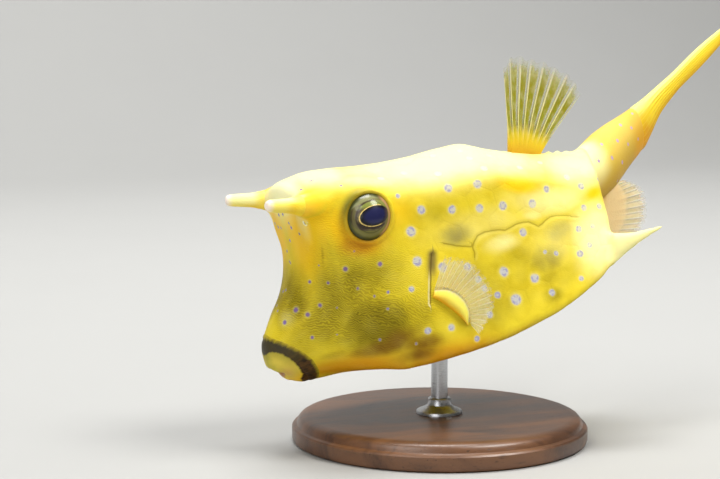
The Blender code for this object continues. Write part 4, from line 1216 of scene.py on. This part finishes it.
def eye_finish():
    mat, nodes = finish("cowfish eye")
    across, up = nodes.value("eye_across"), nodes.value("eye_up")
    place = nodes.place()
    wavy = nodes.line(nodes.noise(place, 420.0, 2.0), 0.7, -0.35)
    fibres = nodes.noise(place, 1500.0, 3.0)
    flat = nodes.flat(across, up)
    moved = nodes.vector("SUBTRACT", flat, (*PUPIL_MIDDLE, 0.0))
    (long, high), (c, s) = PUPIL_HALVES, (math.cos(PUPIL_LEAN), math.sin(PUPIL_LEAN))
    wide = nodes.vector("DOT_PRODUCT", moved, (c / long, s / long, 0.0))
    tall = nodes.vector("DOT_PRODUCT", moved, (-s / high, c / high, 0.0))
    oval = nodes.vector("LENGTH", nodes.flat(wide, tall))
    oval = nodes.math("MAXIMUM", oval, nodes.line(across, 0.35, 1.0 - 0.35 * PUPIL_END))
    edge = nodes.line(oval, 3.0, -3.0)         # about the distance from the pupil's edge, in mm
    rough_edge = nodes.math("ADD", edge, wavy)
    c, s = math.cos(EYE_LEAN), math.sin(EYE_LEAN)
    short = nodes.vector("DOT_PRODUCT", flat, (c / EYE_SHAPE[0], -s / EYE_SHAPE[0], 0.0))
    long = nodes.vector("DOT_PRODUCT", flat, (s / EYE_SHAPE[1], c / EYE_SHAPE[1], 0.0))
    rim = nodes.vector("LENGTH", nodes.flat(short, long))

    iris = nodes.mix(nodes.fade(fibres, 0.35, 0.65), paint(78, 68, 34), paint(100, 90, 50))
    left = nodes.fade(across, -0.4, -2.6)
    iris = nodes.over(iris, paint(66, 50, 42), left, nodes.fade(rough_edge, 0.4, 0.7),
                      nodes.fade(rough_edge, 2.1, 1.6), 0.95)
    high, low = nodes.fade(up, 1.6, 3.0), nodes.fade(up, -1.2, -2.3)
    iris = nodes.over(iris, paint(122, 128, 54), high, nodes.fade(rough_edge, 1.7, 1.4))
    # Painted reflection: a pale grey-green band across the top of the iris.
    iris = nodes.over(iris, paint(134, 136, 98), high, nodes.fade(rough_edge, 1.9, 2.3))
    iris = nodes.over(iris, paint(44, 32, 12), low, nodes.fade(rough_edge, 1.1, 0.8))
    iris = nodes.over(iris, paint(112, 108, 38), low, nodes.fade(rough_edge, 1.2, 1.7))
    iris = nodes.over(iris, paint(120, 116, 62), nodes.fade(rim, 4.5, 4.9), nodes.fade(rim, 5.7, 5.3), 0.55)
    dark = nodes.size(nodes.math("SUBTRACT", nodes.line(wavy, 0.4, rim), 4.4))
    iris = nodes.over(iris, paint(48, 42, 20), nodes.fade(dark, 0.26, 0.05, 0.0, 0.5))
    # Painted shade: the ball darkens at its edge, under the rim.
    iris = nodes.over(iris, paint(58, 60, 22), nodes.fade(nodes.math("ADD", rim, wavy), 5.3, 6.1))
    iris = nodes.over(iris, paint(172, 132, 92), nodes.fade(across, 2.2, 4.0),
                      nodes.fade(rim, 5.3, 5.7), 0.9)
    colour = nodes.over(iris, paint(226, 196, 112), nodes.fade(edge, 0.27, 0.18),
                        nodes.fade(across, 3.4, 2.4), nodes.fade(fibres, 0.3, 0.5, 0.45, 1.0))
    colour = nodes.over(colour, paint(12, 11, 14), nodes.fade(edge, 0.06, -0.06))
    colour = nodes.over(colour, paint(30, 32, 72), nodes.fade(rough_edge, -0.25, -1.2))
    colour = nodes.over(colour, paint(84, 66, 70), nodes.fade(edge, 0.0, -0.2),
                        nodes.fade(across, 3.6, 5.0), 0.65)
    nodes.shade(colour, nodes.line(fibres, 0.1, 0.3),
                others={"Specular IOR Level": 0.2, "Coat Weight": 0.35, "Coat Roughness": 0.05})
    return mat


def nostril_finish():
    mat, nodes = finish("cowfish nostril")
    place = nodes.place()
    inside = nodes.value("inside")
    rim = nodes.mix(nodes.fade(nodes.noise(place, 900.0), 0.4, 0.6), paint(254, 250, 214), paint(246, 226, 110))
    # The dark inside is painted shade in the opening.
    nodes.shade(nodes.mix(nodes.fade(inside, 0.0, 0.5), rim, paint(96, 84, 66)),
                nodes.line(nodes.noise(place, 1200.0), 0.2, 0.4), others={"Specular IOR Level": 0.2})
    return mat


FIN_SHEEN = {"Subsurface Weight": 0.1, "Subsurface Scale": 0.0015, "Specular IOR Level": 0.2}
# A fin's base goes from foot to flesh, its rays from line to tip. The web, the band beside each ray
# and the rays are that opaque, and the margin is ragged.
FIN_LOOKS = {
    "dorsal fin": {"flesh": (222, 192, 38), "foot": (210, 160, 36), "line": (236, 228, 162),
                   "tip": (216, 210, 180), "band": (148, 144, 20), "web": (180, 180, 120),
                   "opaque": (0.25, 0.9, 0.95), "freckles": 0.1, "foot_reach": 0.22, "ragged": 0.2},
    # The pectoral fin's orange foot is partly painted shade along its root.
    "pectoral fin": {"flesh": (252, 240, 100), "foot": (238, 174, 16), "line": (248, 242, 206),
                     "tip": (238, 234, 216), "band": (240, 232, 184), "web": (236, 230, 196),
                     "opaque": (0.26, 0.34, 0.52), "freckles": 0.05, "foot_reach": 0.26, "ragged": 0.5},
    "anal fin": {"flesh": (234, 204, 148), "foot": (226, 184, 96), "line": (242, 230, 176),
                 "tip": (232, 228, 216), "band": (230, 212, 160), "web": (222, 208, 172),
                 "opaque": (0.62, 0.84, 0.9), "freckles": 0.08, "foot_reach": 0.3, "ragged": 0.3},
}


def fin_finish(name):
    mat, nodes = finish(name)
    look = FIN_LOOKS[name]
    tones = ("flesh", "foot", "line", "tip", "band", "web")
    flesh, foot, line, tip, band, web = (paint(*look[key]) for key in tones)
    clear, band_alpha, ray_alpha = look["opaque"]
    foot_reach, ragged = look["foot_reach"], look["ragged"]
    place = nodes.place()
    grain = nodes.group(GRAIN, Place=place)
    ray, along, fleshy = (nodes.value(key) for key in ("ray", "along", "flesh"))
    masks = nodes.group(RAYS, Ray=ray, Along=along)
    patchy = nodes.noise(nodes.flat(nodes.times(ray, 2.0), nodes.times(along, 9.0)), 1.0, 3.0, 0.6)

    colour = nodes.mix(nodes.times(masks["Band"], nodes.fade(along, 1.04, 0.7)), web, band)
    colour = nodes.over(colour, tip, nodes.fade(patchy, 0.4, 0.7), 0.25)
    colour = nodes.over(colour, nodes.mix(nodes.fade(along, 0.35, 1.0), line, tip), masks["Line"], 0.9)
    uneven = nodes.line(grain["Mottling"], 0.5 * foot_reach, along)
    base = nodes.mix(nodes.fade(uneven, 1.3 * foot_reach, 0.4 * foot_reach), flesh, foot)
    freckles = nodes.fade(nodes.noise(place, 520.0, 2.0), 0.62, 0.74)
    base = nodes.over(base, paint(150, 96, 30), freckles, look["freckles"])
    colour = nodes.over(colour, base, nodes.fade(nodes.line(patchy, 0.45, fleshy), 0.3, 1.15))

    sheer = nodes.line(masks["Band"], band_alpha - clear, clear)
    sheer = nodes.math("MAXIMUM", sheer, nodes.times(masks["Line"], ray_alpha))
    sheer = nodes.math("MULTIPLY_ADD", patchy, 0.24, nodes.math("SUBTRACT", sheer, 0.12), clamp=True)
    margin = nodes.fade(nodes.line(patchy, -ragged, along), 1.0 - 0.5 * ragged, 0.84 - 0.5 * ragged)
    sheer = nodes.times(sheer, nodes.line(margin, 0.9, 0.1))
    joints = nodes.times(nodes.math("SINE", nodes.times(along, 190.0)), masks["Line"])
    height = nodes.line(joints, 0.3, nodes.math("ADD", patchy, grain["Granules"]))
    nodes.shade(colour, nodes.line(patchy, 0.2, 0.42), nodes.bump(height, 0.00006, 0.6),
                {"Alpha": nodes.math("MAXIMUM", sheer, nodes.fade(fleshy, 0.1, 0.6)), **FIN_SHEEN})
    return mat


def blade_finish():
    """The tail fin's finish: pale along its upper edge, golden below, with faint long streaks."""
    mat, nodes = finish("tail fin")
    place = nodes.place()
    ray, along = nodes.value("ray"), nodes.value("along")
    streak = nodes.noise(nodes.flat(nodes.times(ray, 2.2), nodes.times(along, 12.0)), 1.0, 3.0, 0.6)
    down = nodes.line(streak, 2.4, nodes.math("SUBTRACT", ray, 1.2))
    colour = nodes.mix(nodes.fade(down, -0.6, 2.2), paint(252, 238, 130), paint(238, 208, 44))
    colour = nodes.over(colour, paint(212, 164, 22), nodes.fade(down, 3.0, 6.6))
    # Orange at the fin's root, partly painted shade where it leaves the stalk.
    root = nodes.line(nodes.noise(place, 300.0, 2.0), 0.3, nodes.value("flesh"))
    colour = nodes.over(colour, paint(214, 150, 20), nodes.fade(root, 0.5, 1.05))
    line = nodes.group(RAYS, Ray=ray, Along=along)["Line"]
    colour = nodes.over(colour, paint(250, 236, 120), line, 0.25)
    nodes.shade(colour, nodes.line(streak, 0.15, 0.42), nodes.bump(streak, 0.00005, 0.4), FIN_SHEEN)
    return mat


def walnut_finish():
    mat, nodes = finish("satin walnut")
    place = nodes.place()
    long_grain = nodes.vector("MULTIPLY", place, (9.0, 62.0, 40.0))
    wander = nodes.noise(nodes.vector("MULTIPLY", place, (12.0, 30.0, 20.0)), 1.0, 3.0)
    shifted = nodes.vector("ADD", long_grain, nodes.vector("SCALE", (1.0, 1.0, 1.0), scale=wander))
    rings = nodes.noise(shifted, 1.6, 5.0, 0.62, 0.8)
    pores = nodes.noise(nodes.vector("MULTIPLY", place, (160.0, 2600.0, 1600.0)), 1.0, 2.0)
    colour = nodes.mix(nodes.fade(rings, 0.32, 0.68), paint(62, 38, 24), paint(112, 74, 46))
    colour = nodes.over(colour, paint(34, 20, 12), nodes.fade(pores, 0.6, 0.75), 0.6)
    height = nodes.line(nodes.fade(pores, 0.6, 0.75), -0.8, rings)
    nodes.shade(colour, nodes.line(rings, 0.16, 0.3), nodes.bump(height, 0.00008, 0.5),
                {"Coat Weight": 0.25, "Coat Roughness": 0.25})
    return mat


def steel_finish():
    mat, nodes = finish("brushed steel")
    place = nodes.place()
    lines = nodes.noise(nodes.vector("MULTIPLY", place, (500.0, 500.0, 9000.0)), 1.0, 3.0, 0.6)
    nodes.shade(nodes.mix(lines, paint(168, 170, 174), paint(206, 207, 210)), nodes.line(lines, 0.2, 0.2),
                nodes.bump(lines, 0.00003, 0.5), {"Metallic": 1.0})
    return mat


def floor_finish():
    mat, nodes = finish("pale floor")
    colour = paint(188, 188, 186)
    darker = tuple(c * 0.97 for c in colour[:3]) + (1.0,)
    nodes.shade(nodes.mix(nodes.noise(nodes.place(), 9.0, 3.0), colour, darker), 0.85)
    return mat


# ---------------------------------------------------------------- horns, eyes, nostrils and mouth

def make_horn(name, side, mat, node):
    near_tip = [d for d, _ in HORN_PROFILE if d < 2.6]
    spans = ((near_tip + [2.6, 4.0, 5.5, 7.0, 8.0, 9.0, 9.8], 0.1), ((10.6, 11.4), -0.05), ((12.2,), -0.5),
             ((13.2,), -1.4))
    horn = drawn_out(name, sum((horn_rings(side, distances, extra) for distances, extra in spans), []))
    tip, root = horn_ends(side)
    from_tip = (to_fish(vertex_array(horn)) - tip) @ unit(root - tip)
    smooth(horn, 40)
    normals = normal_array(horn) @ fish_axes()
    # top holds how far the surface faces up and inwards, for the horn's painted light.
    keep_values(horn, from_tip=from_tip, top=normals[:, 2] - 0.6 * side * normals[:, 1])
    return finish_piece(horn, mat, "skin", node)


def make_eye(name, side, mat, node):
    """The ball of an eye, a little longer one way than the other."""
    centre, out, tailward, up = eye_frame(side)
    short, long = eye_axes(side)
    nothing_selected()
    bpy.ops.mesh.primitive_uv_sphere_add(segments=96, ring_count=64, radius=EYE_BALL_RADIUS)
    eye = named(name)
    p = vertex_array(eye)
    away = p[:, :1] * short + p[:, 1:2] * long + p[:, 2:3] * out * 0.95
    keep_values(eye, eye_across=away @ tailward, eye_up=away @ up)
    set_vertices(eye, to_model(centre + away))
    all_outward(eye)
    smooth(eye)
    return finish_piece(eye, mat, "eye", node)


NOSTRIL = (25.6, 21.85)            # length and row of the left one
#   height, radius, share of its width
NOSTRIL_RINGS = ((-0.5, 1.05, 0.8), (0.02, 1.1, 0.8), (0.18, 1.0, 0.78), (0.26, 0.82, 0.7), (0.24, 0.66, 0.5),
                 (0.12, 0.56, 0.36), (-0.3, 0.46, 0.3))


def make_nostril(name, side, mat):
    """A small raised ring with an upright slit."""
    length, row = np.array(NOSTRIL[:1]), np.array((NOSTRIL[1] if side < 0 else ROWS - NOSTRIL[1],))
    middle, out = shell_points(length, row)[0], shell_normals(length, row)[0]
    across = unit(np.cross(UP, out))
    up = np.cross(out, across)
    nostril = drawn_out(name, [ring(middle + out * height, across, up, radius * narrow, radius, 36)
                               for height, radius, narrow in NOSTRIL_RINGS])
    away = to_fish(vertex_array(nostril)) - middle
    keep_values(nostril, inside=1.0 - np.hypot(away @ across / 0.45, away @ up) / 0.72)
    smooth(nostril, 50)
    return finish_piece(nostril, mat, "skin")


# Mouth: height over the front ring, half-width, half-length, shift towards the chin.
MOUTH_RINGS = np.array((
    (0.3, 7.5, 9.2, 0.0), (1.6, 6.9, 8.5, -0.15), (2.8, 6.0, 7.2, -0.3), (3.7, 5.1, 5.7, -0.3), (4.4, 4.3, 4.4, 0.0),
    (4.6, 3.6, 3.2, 0.2), (4.5, 3.1, 2.2, 0.3), (3.6, 2.8, 1.5, 0.3)))
LIP_CORNER = 0.9
UPPER_LIP = 1.1                    # how much fuller the upper lip is
LIP_DROOP = 1.1                    # and how far it hangs, as a share of that
# The sleeve on the snout: share of its reach, and height over the shell.
SLEEVE = ((1.0, -0.35), (0.97, 0.0), (0.92, 0.1), (0.8, 0.13), (0.6, 0.13), (0.4, 0.13), (0.2, 0.13), (0.0, 0.13))
LIP_LEVELS = 44
INNER_LIPS = 0.68                  # share of the levels after which the lips turn inwards
#   row on the left: how far the dark band reaches back on the snout, and how far it reaches on to the lips
BAND_REACH = np.array(((12.0, 0.6, 1.6), (13.1, 1.0, 2.2), (14.1, 2.9, 2.6), (15.0, 3.3, 2.5), (16.0, 3.7, 1.2),
                       (17.4, 3.9, 0.6), (18.7, 3.1, 0.6), (20.1, 1.9, 1.2), (21.6, 0.9, 2.8), (23.0, 0.2, 4.8),
                       (24.0, 0.1, 5.5)))
MOUTH_CORNER = (2.8, 17.3)         # ring and row of the flushed place at each corner


def make_mouth(mat):
    """The lips, and the dark band round them that starts as a thin sleeve on the snout."""
    belly, up, normal, span = section_plane(SECTIONS[0])
    middle = belly + up * span / 2
    sides = 96
    rows = ROWS * np.arange(sides) / sides
    back, front = (np.interp(left_row(rows), BAND_REACH[:, 0], BAND_REACH[:, k]) for k in (1, 2))
    rings, reaches = [], []
    for share, lift in SLEEVE:
        lengths = np.maximum(back, 0.5) * share
        rings.append(shell_points(lengths, rows) + shell_normals(lengths, rows) * lift)
        reaches.append(-lengths)
    steps = np.arange(len(MOUTH_RINGS), dtype=float)
    rings_at = curve_through(steps, MOUTH_RINGS)
    angle = 2 * math.pi * rows / ROWS
    for step in np.linspace(0.0, steps[-1], LIP_LEVELS):
        height, half_width, half_length, shift = rings_at(step)[0]
        points = ring(middle - normal * height - up * shift, SIDEWAYS, up, half_width, half_length, sides)
        upper = UPPER_LIP * hump(step, 2.4, 4.2)
        points -= (normal + up * LIP_DROOP) * (upper * np.clip(np.cos(angle) + 0.5, 0.0, 1.0))[:, None]
        dip = LIP_CORNER * float(smooth_step(step, 2.0, 4.5))
        rings.append(points + normal * (dip * np.sin(angle) ** 4)[:, None])
        reaches.append(reaches[-1] + np.linalg.norm(rings[-1] - rings[-2], axis=1))
    mouth = drawn_out("mouth_and_lips", rings)
    points = to_fish(vertex_array(mouth))
    known = search_tree(np.concatenate(rings))
    index = np.array([known.find(p)[1] for p in points])
    reach, column, level = np.concatenate(reaches)[index], index % sides, index // sides
    flush = np.zeros(len(points))
    corner = int(len(SLEEVE) + MOUTH_CORNER[0] / steps[-1] * (LIP_LEVELS - 1))
    for row in (MOUTH_CORNER[1], ROWS - MOUTH_CORNER[1]):
        place = rings[corner][int(round(row / ROWS * sides))]
        flush = np.maximum(flush, hump(np.linalg.norm(points - place, axis=1), 2.0))
    keep_values(mouth, corner=flush, from_edge=reach + back[column], lip=reach - front[column],
                height_up=(points - middle) @ up,
                inside=np.clip((level - len(SLEEVE) - LIP_LEVELS * INNER_LIPS) * 0.35, 0.0, 2.0))
    corners = corner_vertices(mouth)
    turn = unbroken(mouth, (column / sides)[corners], 1.0)
    corner_map(mouth, "round_out", np.stack((turn, reach[corners]), axis=-1))
    smooth(mouth, 60)
    return finish_piece(mouth, mat, "lips", "mouth")


# ---------------------------------------------------------------- fins

# A root line sunk in the body, and a margin from the first ray to the last. Levels from root to
# margin: share of the way, half-thickness, height of a ray over it.
DORSAL = {
    "root": ((29.4, 0.0, 22.6), (37.6, 0.0, 19.9)),
    "margin": ((32.9, 0.0, 49.4), (37.0, 0.0, 52.4), (42.0, 0.0, 50.5), (47.0, 0.0, 48.3), (52.0, 0.0, 44.8),
               (56.2, 0.0, 40.8), (57.9, 0.0, 35.6)),
    "rays": 9, "flesh": (0.05, 0.5), "taper": 0.0,
    "levels": ((0.0, 1.6, 0.0), (0.1, 1.5, 0.0), (0.2, 1.1, 0.06), (0.3, 0.6, 0.12), (0.42, 0.3, 0.16),
               (0.55, 0.2, 0.16), (0.75, 0.14, 0.14), (0.93, 0.1, 0.1), (1.0, 0.06, 0.05)),
}
PECTORAL = {
    "root": ((-14.9, 21.7, -5.6), (-6.6, 23.5, -15.2)),
    "margin": ((-11.4, 27.8, 6.0), (-5.0, 29.6, 3.0), (-0.8, 30.8, -4.5), (-0.8, 30.8, -12.0), (-6.2, 29.0, -19.0)),
    "rays": 17, "flesh": (0.26, 0.42), "taper": 0.55,
    "levels": ((0.0, 0.9, 0.0), (0.05, 1.5, 0.0), (0.1, 2.0, 0.0), (0.16, 2.3, 0.0), (0.22, 2.15, 0.0),
               (0.28, 1.55, 0.01), (0.33, 0.85, 0.03), (0.4, 0.36, 0.06), (0.6, 0.16, 0.07), (0.85, 0.1, 0.05),
               (1.0, 0.05, 0.03)),
}
ANAL = {
    "root": ((47.2, 0.3, -7.0), (60.5, 2.56, 5.2)),
    "margin": ((72.3, 4.57, -13.6), (76.2, 5.23, -10.2), (77.6, 5.47, -5.8), (77.4, 5.43, -0.9), (73.8, 4.82, 3.0),
               (69.7, 4.13, 5.0)),
    "rays": 13, "flesh": (0.36, 0.9), "taper": 0.0,
    "levels": ((0.0, 1.5, 0.0), (0.35, 1.25, 0.0), (0.5, 0.9, 0.02), (0.64, 0.5, 0.04), (0.8, 0.22, 0.06),
               (0.92, 0.1, 0.05), (1.0, 0.05, 0.03)),
}
RAY_HALF_WIDTH = 0.13              # half-width of a ray, as a share of the rays' spacing
WEB_REACH = 0.97                   # how far the web reaches between the rays, as a share of the rays


def make_fin(name, fin, mat, node, side=1, ripple=0.12):
    """A fan of raised rays with a web between them: a grid folded round both faces, closed all round."""
    root = np.array(fin["root"], float)
    margin = np.array(fin["margin"], float)
    margin_at = curve_through(np.linspace(0.0, 1.0, len(margin)), margin)
    normal = unit(np.cross(root[1] - root[0], margin_at(0.5)[0] - root[0]))
    shares, halves, ridges = np.array(fin["levels"]).T
    gaps = fin["rays"] - 1
    kept = {}

    def place(around, along):
        along = 1 - (1 - along) ** 1.25
        across = 1 - np.abs(2 * around - 1)
        face = np.where(around <= 0.5, 1.0, -1.0)
        foot = root[0] + (root[1] - root[0]) * across[:, None]
        from_ray = np.abs(across * gaps - np.round(across * gaps))
        between = smooth_step(from_ray, 0.1, 0.5)
        notch = (1 - WEB_REACH) * between * smooth_step(along, 0.5, 1.0)
        reach = (margin_at(across) - foot) * (1 - notch)[:, None]
        out = along / (1 - fin["taper"] * (2 * across - 1) ** 2)
        half = np.interp(out, shares, halves)
        ridge = np.interp(out, shares, ridges) * hump(from_ray, RAY_HALF_WIDTH)
        rim = np.sqrt(np.clip(np.minimum(across, 1 - across) * gaps / 0.12, 0.0, 1.0))
        top = np.sqrt(np.clip((1 - along) / 0.012, 0.0, 1.0)) * np.sqrt(np.clip(along / 0.01, 0.0, 1.0))
        wave = ripple * smooth_step(along, 0.3, 0.9) * np.cos(math.pi * across * gaps) * (across * (1 - across) * 4)
        points = foot + reach * along[:, None] + normal * (face * (half + ridge) * rim * top + wave)[:, None]
        kept.update(ray=across * gaps, along=along, flesh=1 - smooth_step(out, *fin["flesh"]))
        return np.stack((points[:, 0], side * points[:, 1], points[:, 2]), axis=-1)

    piece, _, _ = grid_sheet(name, gaps * 14 * 2, 60, place)
    keep_values(piece, **kept)
    all_outward(piece)
    smooth(piece, 60)
    return finish_piece(piece, mat, "fin", node)


CAUDAL_RAYS = 8
#   distance from its root, rise, half-height, half-thickness
CAUDAL_PROFILE = np.array((
    (-2.0, -0.4, 6.9, 2.4), (0.0, 0.0, 7.1, 2.6), (6.0, 2.0, 6.1, 2.1), (14.0, 5.4, 4.3, 1.7), (24.0, 8.4, 3.5, 1.45),
    (40.0, 12.6, 3.2, 1.2), (58.0, 17.0, 2.6, 1.0), (72.0, 20.2, 2.1, 0.8), (79.0, 21.8, 1.5, 0.65),
    (82.3, 22.6, 0.6, 0.4)))
CAUDAL_LENGTH = CAUDAL_PROFILE[-1, 0]


def make_caudal(mat):
    """The tail fin, folded to a blade with its rays side by side."""
    along, across = tail_frame()
    last = STALK_PROFILE[-1]
    start = rear_point(STALK_SHARE, 0.0)[0] + along * (last[0] + 0.3) + UP * last[1]
    profile_at = curve_through(CAUDAL_PROFILE[:, 0], CAUDAL_PROFILE[:, 1:])
    sides = 16 * CAUDAL_RAYS
    rings = []
    for distance in (*np.linspace(-2.0, 78.0, 60), 79.5, 80.7, 81.5, 82.0, CAUDAL_LENGTH):
        rise, high, thick = profile_at(distance)[0]
        angle = 2 * math.pi * (np.arange(sides) + 0.5) / sides
        height = np.cos(angle)
        share = (1 - height) / 2
        ray = share * CAUDAL_RAYS
        crest = 0.5 - 0.5 * np.cos(2 * math.pi * ray)
        ridged = 1 + (0.14 * crest - 0.1) * float(smooth_step(distance, 3.0, 14.0))
        bulge = np.sign(np.sin(angle)) * np.abs(np.sin(angle)) ** 0.6
        ripple = 0.25 * math.sin(distance * 0.16) * height * float(smooth_step(distance, 8.0, 30.0))
        rings.append(start + along * distance + UP * rise + UP * (high * height)[:, None]
                     + across * (thick * bulge * ridged + ripple)[:, None])
    blade = drawn_out("tail_fin", rings)
    away = to_fish(vertex_array(blade)) - start
    distance = away @ along
    rise, high, _ = profile_at(distance).T
    share = np.clip((1 - (away[:, 2] - rise) / high) / 2, 0.0, 1.0)
    keep_values(blade, ray=share * CAUDAL_RAYS - 0.5, along=np.clip(distance / CAUDAL_LENGTH, 0.0, 1.0) * 0.6,
                flesh=(1 - smooth_step(distance, 1.0, 18.0)) * (0.35 + 0.65 * share))
    smooth(blade, 50)
    return finish_piece(blade, mat, "fin", "caudal_fin")


# ---------------------------------------------------------------- stand and stage

BASE_PROFILE = ((0.0, 43.6), (0.5, 44.3), (1.3, 44.6), (4.4, 44.6), (4.9, 44.2), (5.1, 43.6), (5.3, 43.2),
                (5.8, 43.0), (6.6, 42.7), (7.2, 42.2), (7.6, 41.5), (7.9, 40.4), (8.0, 39.2))
ROD_PROFILE = ((7.8, 7.0), (8.5, 7.0), (8.9, 6.8), (9.2, 6.2), (9.8, 4.6), (10.6, 3.7), (11.6, 3.4), (12.4, 3.4),
               (12.7, 3.2), (12.8, 2.5), (13.2, 2.5), (36.0, 2.5))


def turned(name, profile, sides, mat, slot, node):
    """A piece turned about the upright axis, from its foot up."""
    nothing_selected()
    bpy.ops.mesh.primitive_circle_add(vertices=sides, radius=profile[0][1] * MM, fill_type="NGON",
                                      location=(0.0, 0.0, profile[0][0] * MM))
    obj = named(name)
    bpy.ops.object.transform_apply(location=True)
    bpy.ops.object.mode_set(mode="EDIT")
    for (below, inner), (above, outer) in zip(profile, profile[1:]):
        bpy.ops.mesh.extrude_region_move(TRANSFORM_OT_translate={"value": (0.0, 0.0, (above - below) * MM)})
        factor = outer / inner
        bpy.ops.transform.resize(value=(factor, factor, 1.0), center_override=(0.0, 0.0, above * MM))
    bpy.ops.object.mode_set(mode="OBJECT")
    all_outward(obj)
    smooth(obj, 28)
    return finish_piece(obj, mat, slot, node)


def make_stage():
    """A pale room: its floor is drawn up and back in a wide curve, to its walls and ceiling."""
    nothing_selected()
    bpy.ops.mesh.primitive_plane_add(size=1.0)
    floor = named("floor")
    set_vertices(floor, [(-3.0, -2.5, 0.0), (3.0, -2.5, 0.0), (-3.0, 1.1, 0.0), (3.0, 1.1, 0.0)])
    bpy.ops.object.mode_set(mode="EDIT")
    bpy.ops.mesh.select_all(action="SELECT")
    steps = 16
    turns = [math.radians(90.0 * (k + 0.5) / steps) for k in range(steps)]
    for back, rise in [(math.cos(turn) * 0.08, math.sin(turn) * 0.08) for turn in turns] + [(0.0, 2.4)]:
        bpy.ops.mesh.extrude_region_move(TRANSFORM_OT_translate={"value": (0.0, back, rise)})
    bpy.ops.mesh.select_all(action="SELECT")
    bpy.ops.mesh.normals_make_consistent(inside=False)
    bpy.ops.object.mode_set(mode="OBJECT")
    smooth(floor)
    floor.data.materials.append(floor_finish())


# Lights: name, place, what it looks at, size, power, colour.
MODEL_MIDDLE = (0.0, 0.0, 0.07)
LIGHTS = (
    ("key", (0.42, -0.5, 1.0), MODEL_MIDDLE, 0.5, 12.4, (1.0, 0.985, 0.95)),
    ("overhead", (0.0, 0.15, 1.0), MODEL_MIDDLE, 0.5, 3.3, (1.0, 1.0, 1.0)),
    ("fill", (-0.8, -0.7, 0.35), MODEL_MIDDLE, 0.7, 2.5, (1.0, 1.0, 1.0)),
    ("front", (-0.75, -0.45, 0.9), MODEL_MIDDLE, 0.6, 5.0, (1.0, 0.99, 0.96)),
    ("backdrop", (0.0, 0.3, 1.6), (0.2, 1.9, 0.4), 1.0, 30.0, (1.0, 1.0, 1.0)),
)
CAMERA_TURN, CAMERA_DIP = math.radians(24.0), math.radians(6.0)
CAMERA_PLACE = (-0.22803, -0.45315, 0.05793 + RIDE_HEIGHT * MM)


def make_lights():
    for name, place, target, size, power, colour in LIGHTS:
        lamp = bpy.data.lights.new(name, "AREA")
        lamp.shape, lamp.size, lamp.energy, lamp.color = "DISK", size, power, colour
        obj = bpy.data.objects.new(name, lamp)
        bpy.context.scene.collection.objects.link(obj)
        obj.location = place
        obj.rotation_euler = (Vector(target) - Vector(place)).to_track_quat("-Z", "Y").to_euler()
    world = bpy.data.worlds.new("studio")
    world.use_nodes = True
    sky = world.node_tree.nodes["Background"].inputs
    sky["Color"].default_value, sky["Strength"].default_value = (0.9, 0.93, 1.0, 1.0), 0.36
    bpy.context.scene.world = world
    bpy.context.scene.view_settings.view_transform = "Standard"


def make_camera():
    lens = bpy.data.cameras.new("portrait lens")
    lens.lens, lens.sensor_width, lens.clip_start = 85.0, 36.0, 0.01
    camera = bpy.data.objects.new("camera", lens)
    bpy.context.scene.collection.objects.link(camera)
    c, s = math.cos(CAMERA_TURN), math.sin(CAMERA_TURN)
    level, down = math.cos(CAMERA_DIP), math.sin(CAMERA_DIP)
    right, up, ahead = (c, -s, 0.0), (down * s, down * c, level), (level * s, level * c, -down)
    rows = [(right[k], up[k], -ahead[k], CAMERA_PLACE[k]) for k in range(3)]
    camera.matrix_world = Matrix(rows + [(0, 0, 0, 1)])
    bpy.context.scene.camera = camera


# ---------------------------------------------------------------- all of it

make_skin(skin_finish())
horn_paint, eye_paint, nostril_paint, pectoral_paint = (
    horn_finish(), eye_finish(), nostril_finish(), fin_finish("pectoral fin"))
for side, word in ((1, "right"), (-1, "left")):
    make_horn(f"horn_{word}_bone", side, horn_paint, f"horn_{word}")
    make_eye(f"eye_{word}_ball", side, eye_paint, f"eye_{word}")
    make_nostril(f"nostril_{word}", side, nostril_paint)
    make_fin(f"pectoral_{word}", PECTORAL, pectoral_paint, f"pectoral_fin_{word}", side)
make_mouth(lips_finish())
make_fin("dorsal", DORSAL, fin_finish("dorsal fin"), "dorsal_fin", ripple=0.35)
make_fin("anal", ANAL, fin_finish("anal fin"), "anal_fin")
make_caudal(blade_finish())
turned("base", BASE_PROFILE, 128, walnut_finish(), "wood", "stand_base")
turned("rod", ROD_PROFILE, 64, steel_finish(), "steel", "stand_rod")
make_stage()
make_lights()
make_camera()
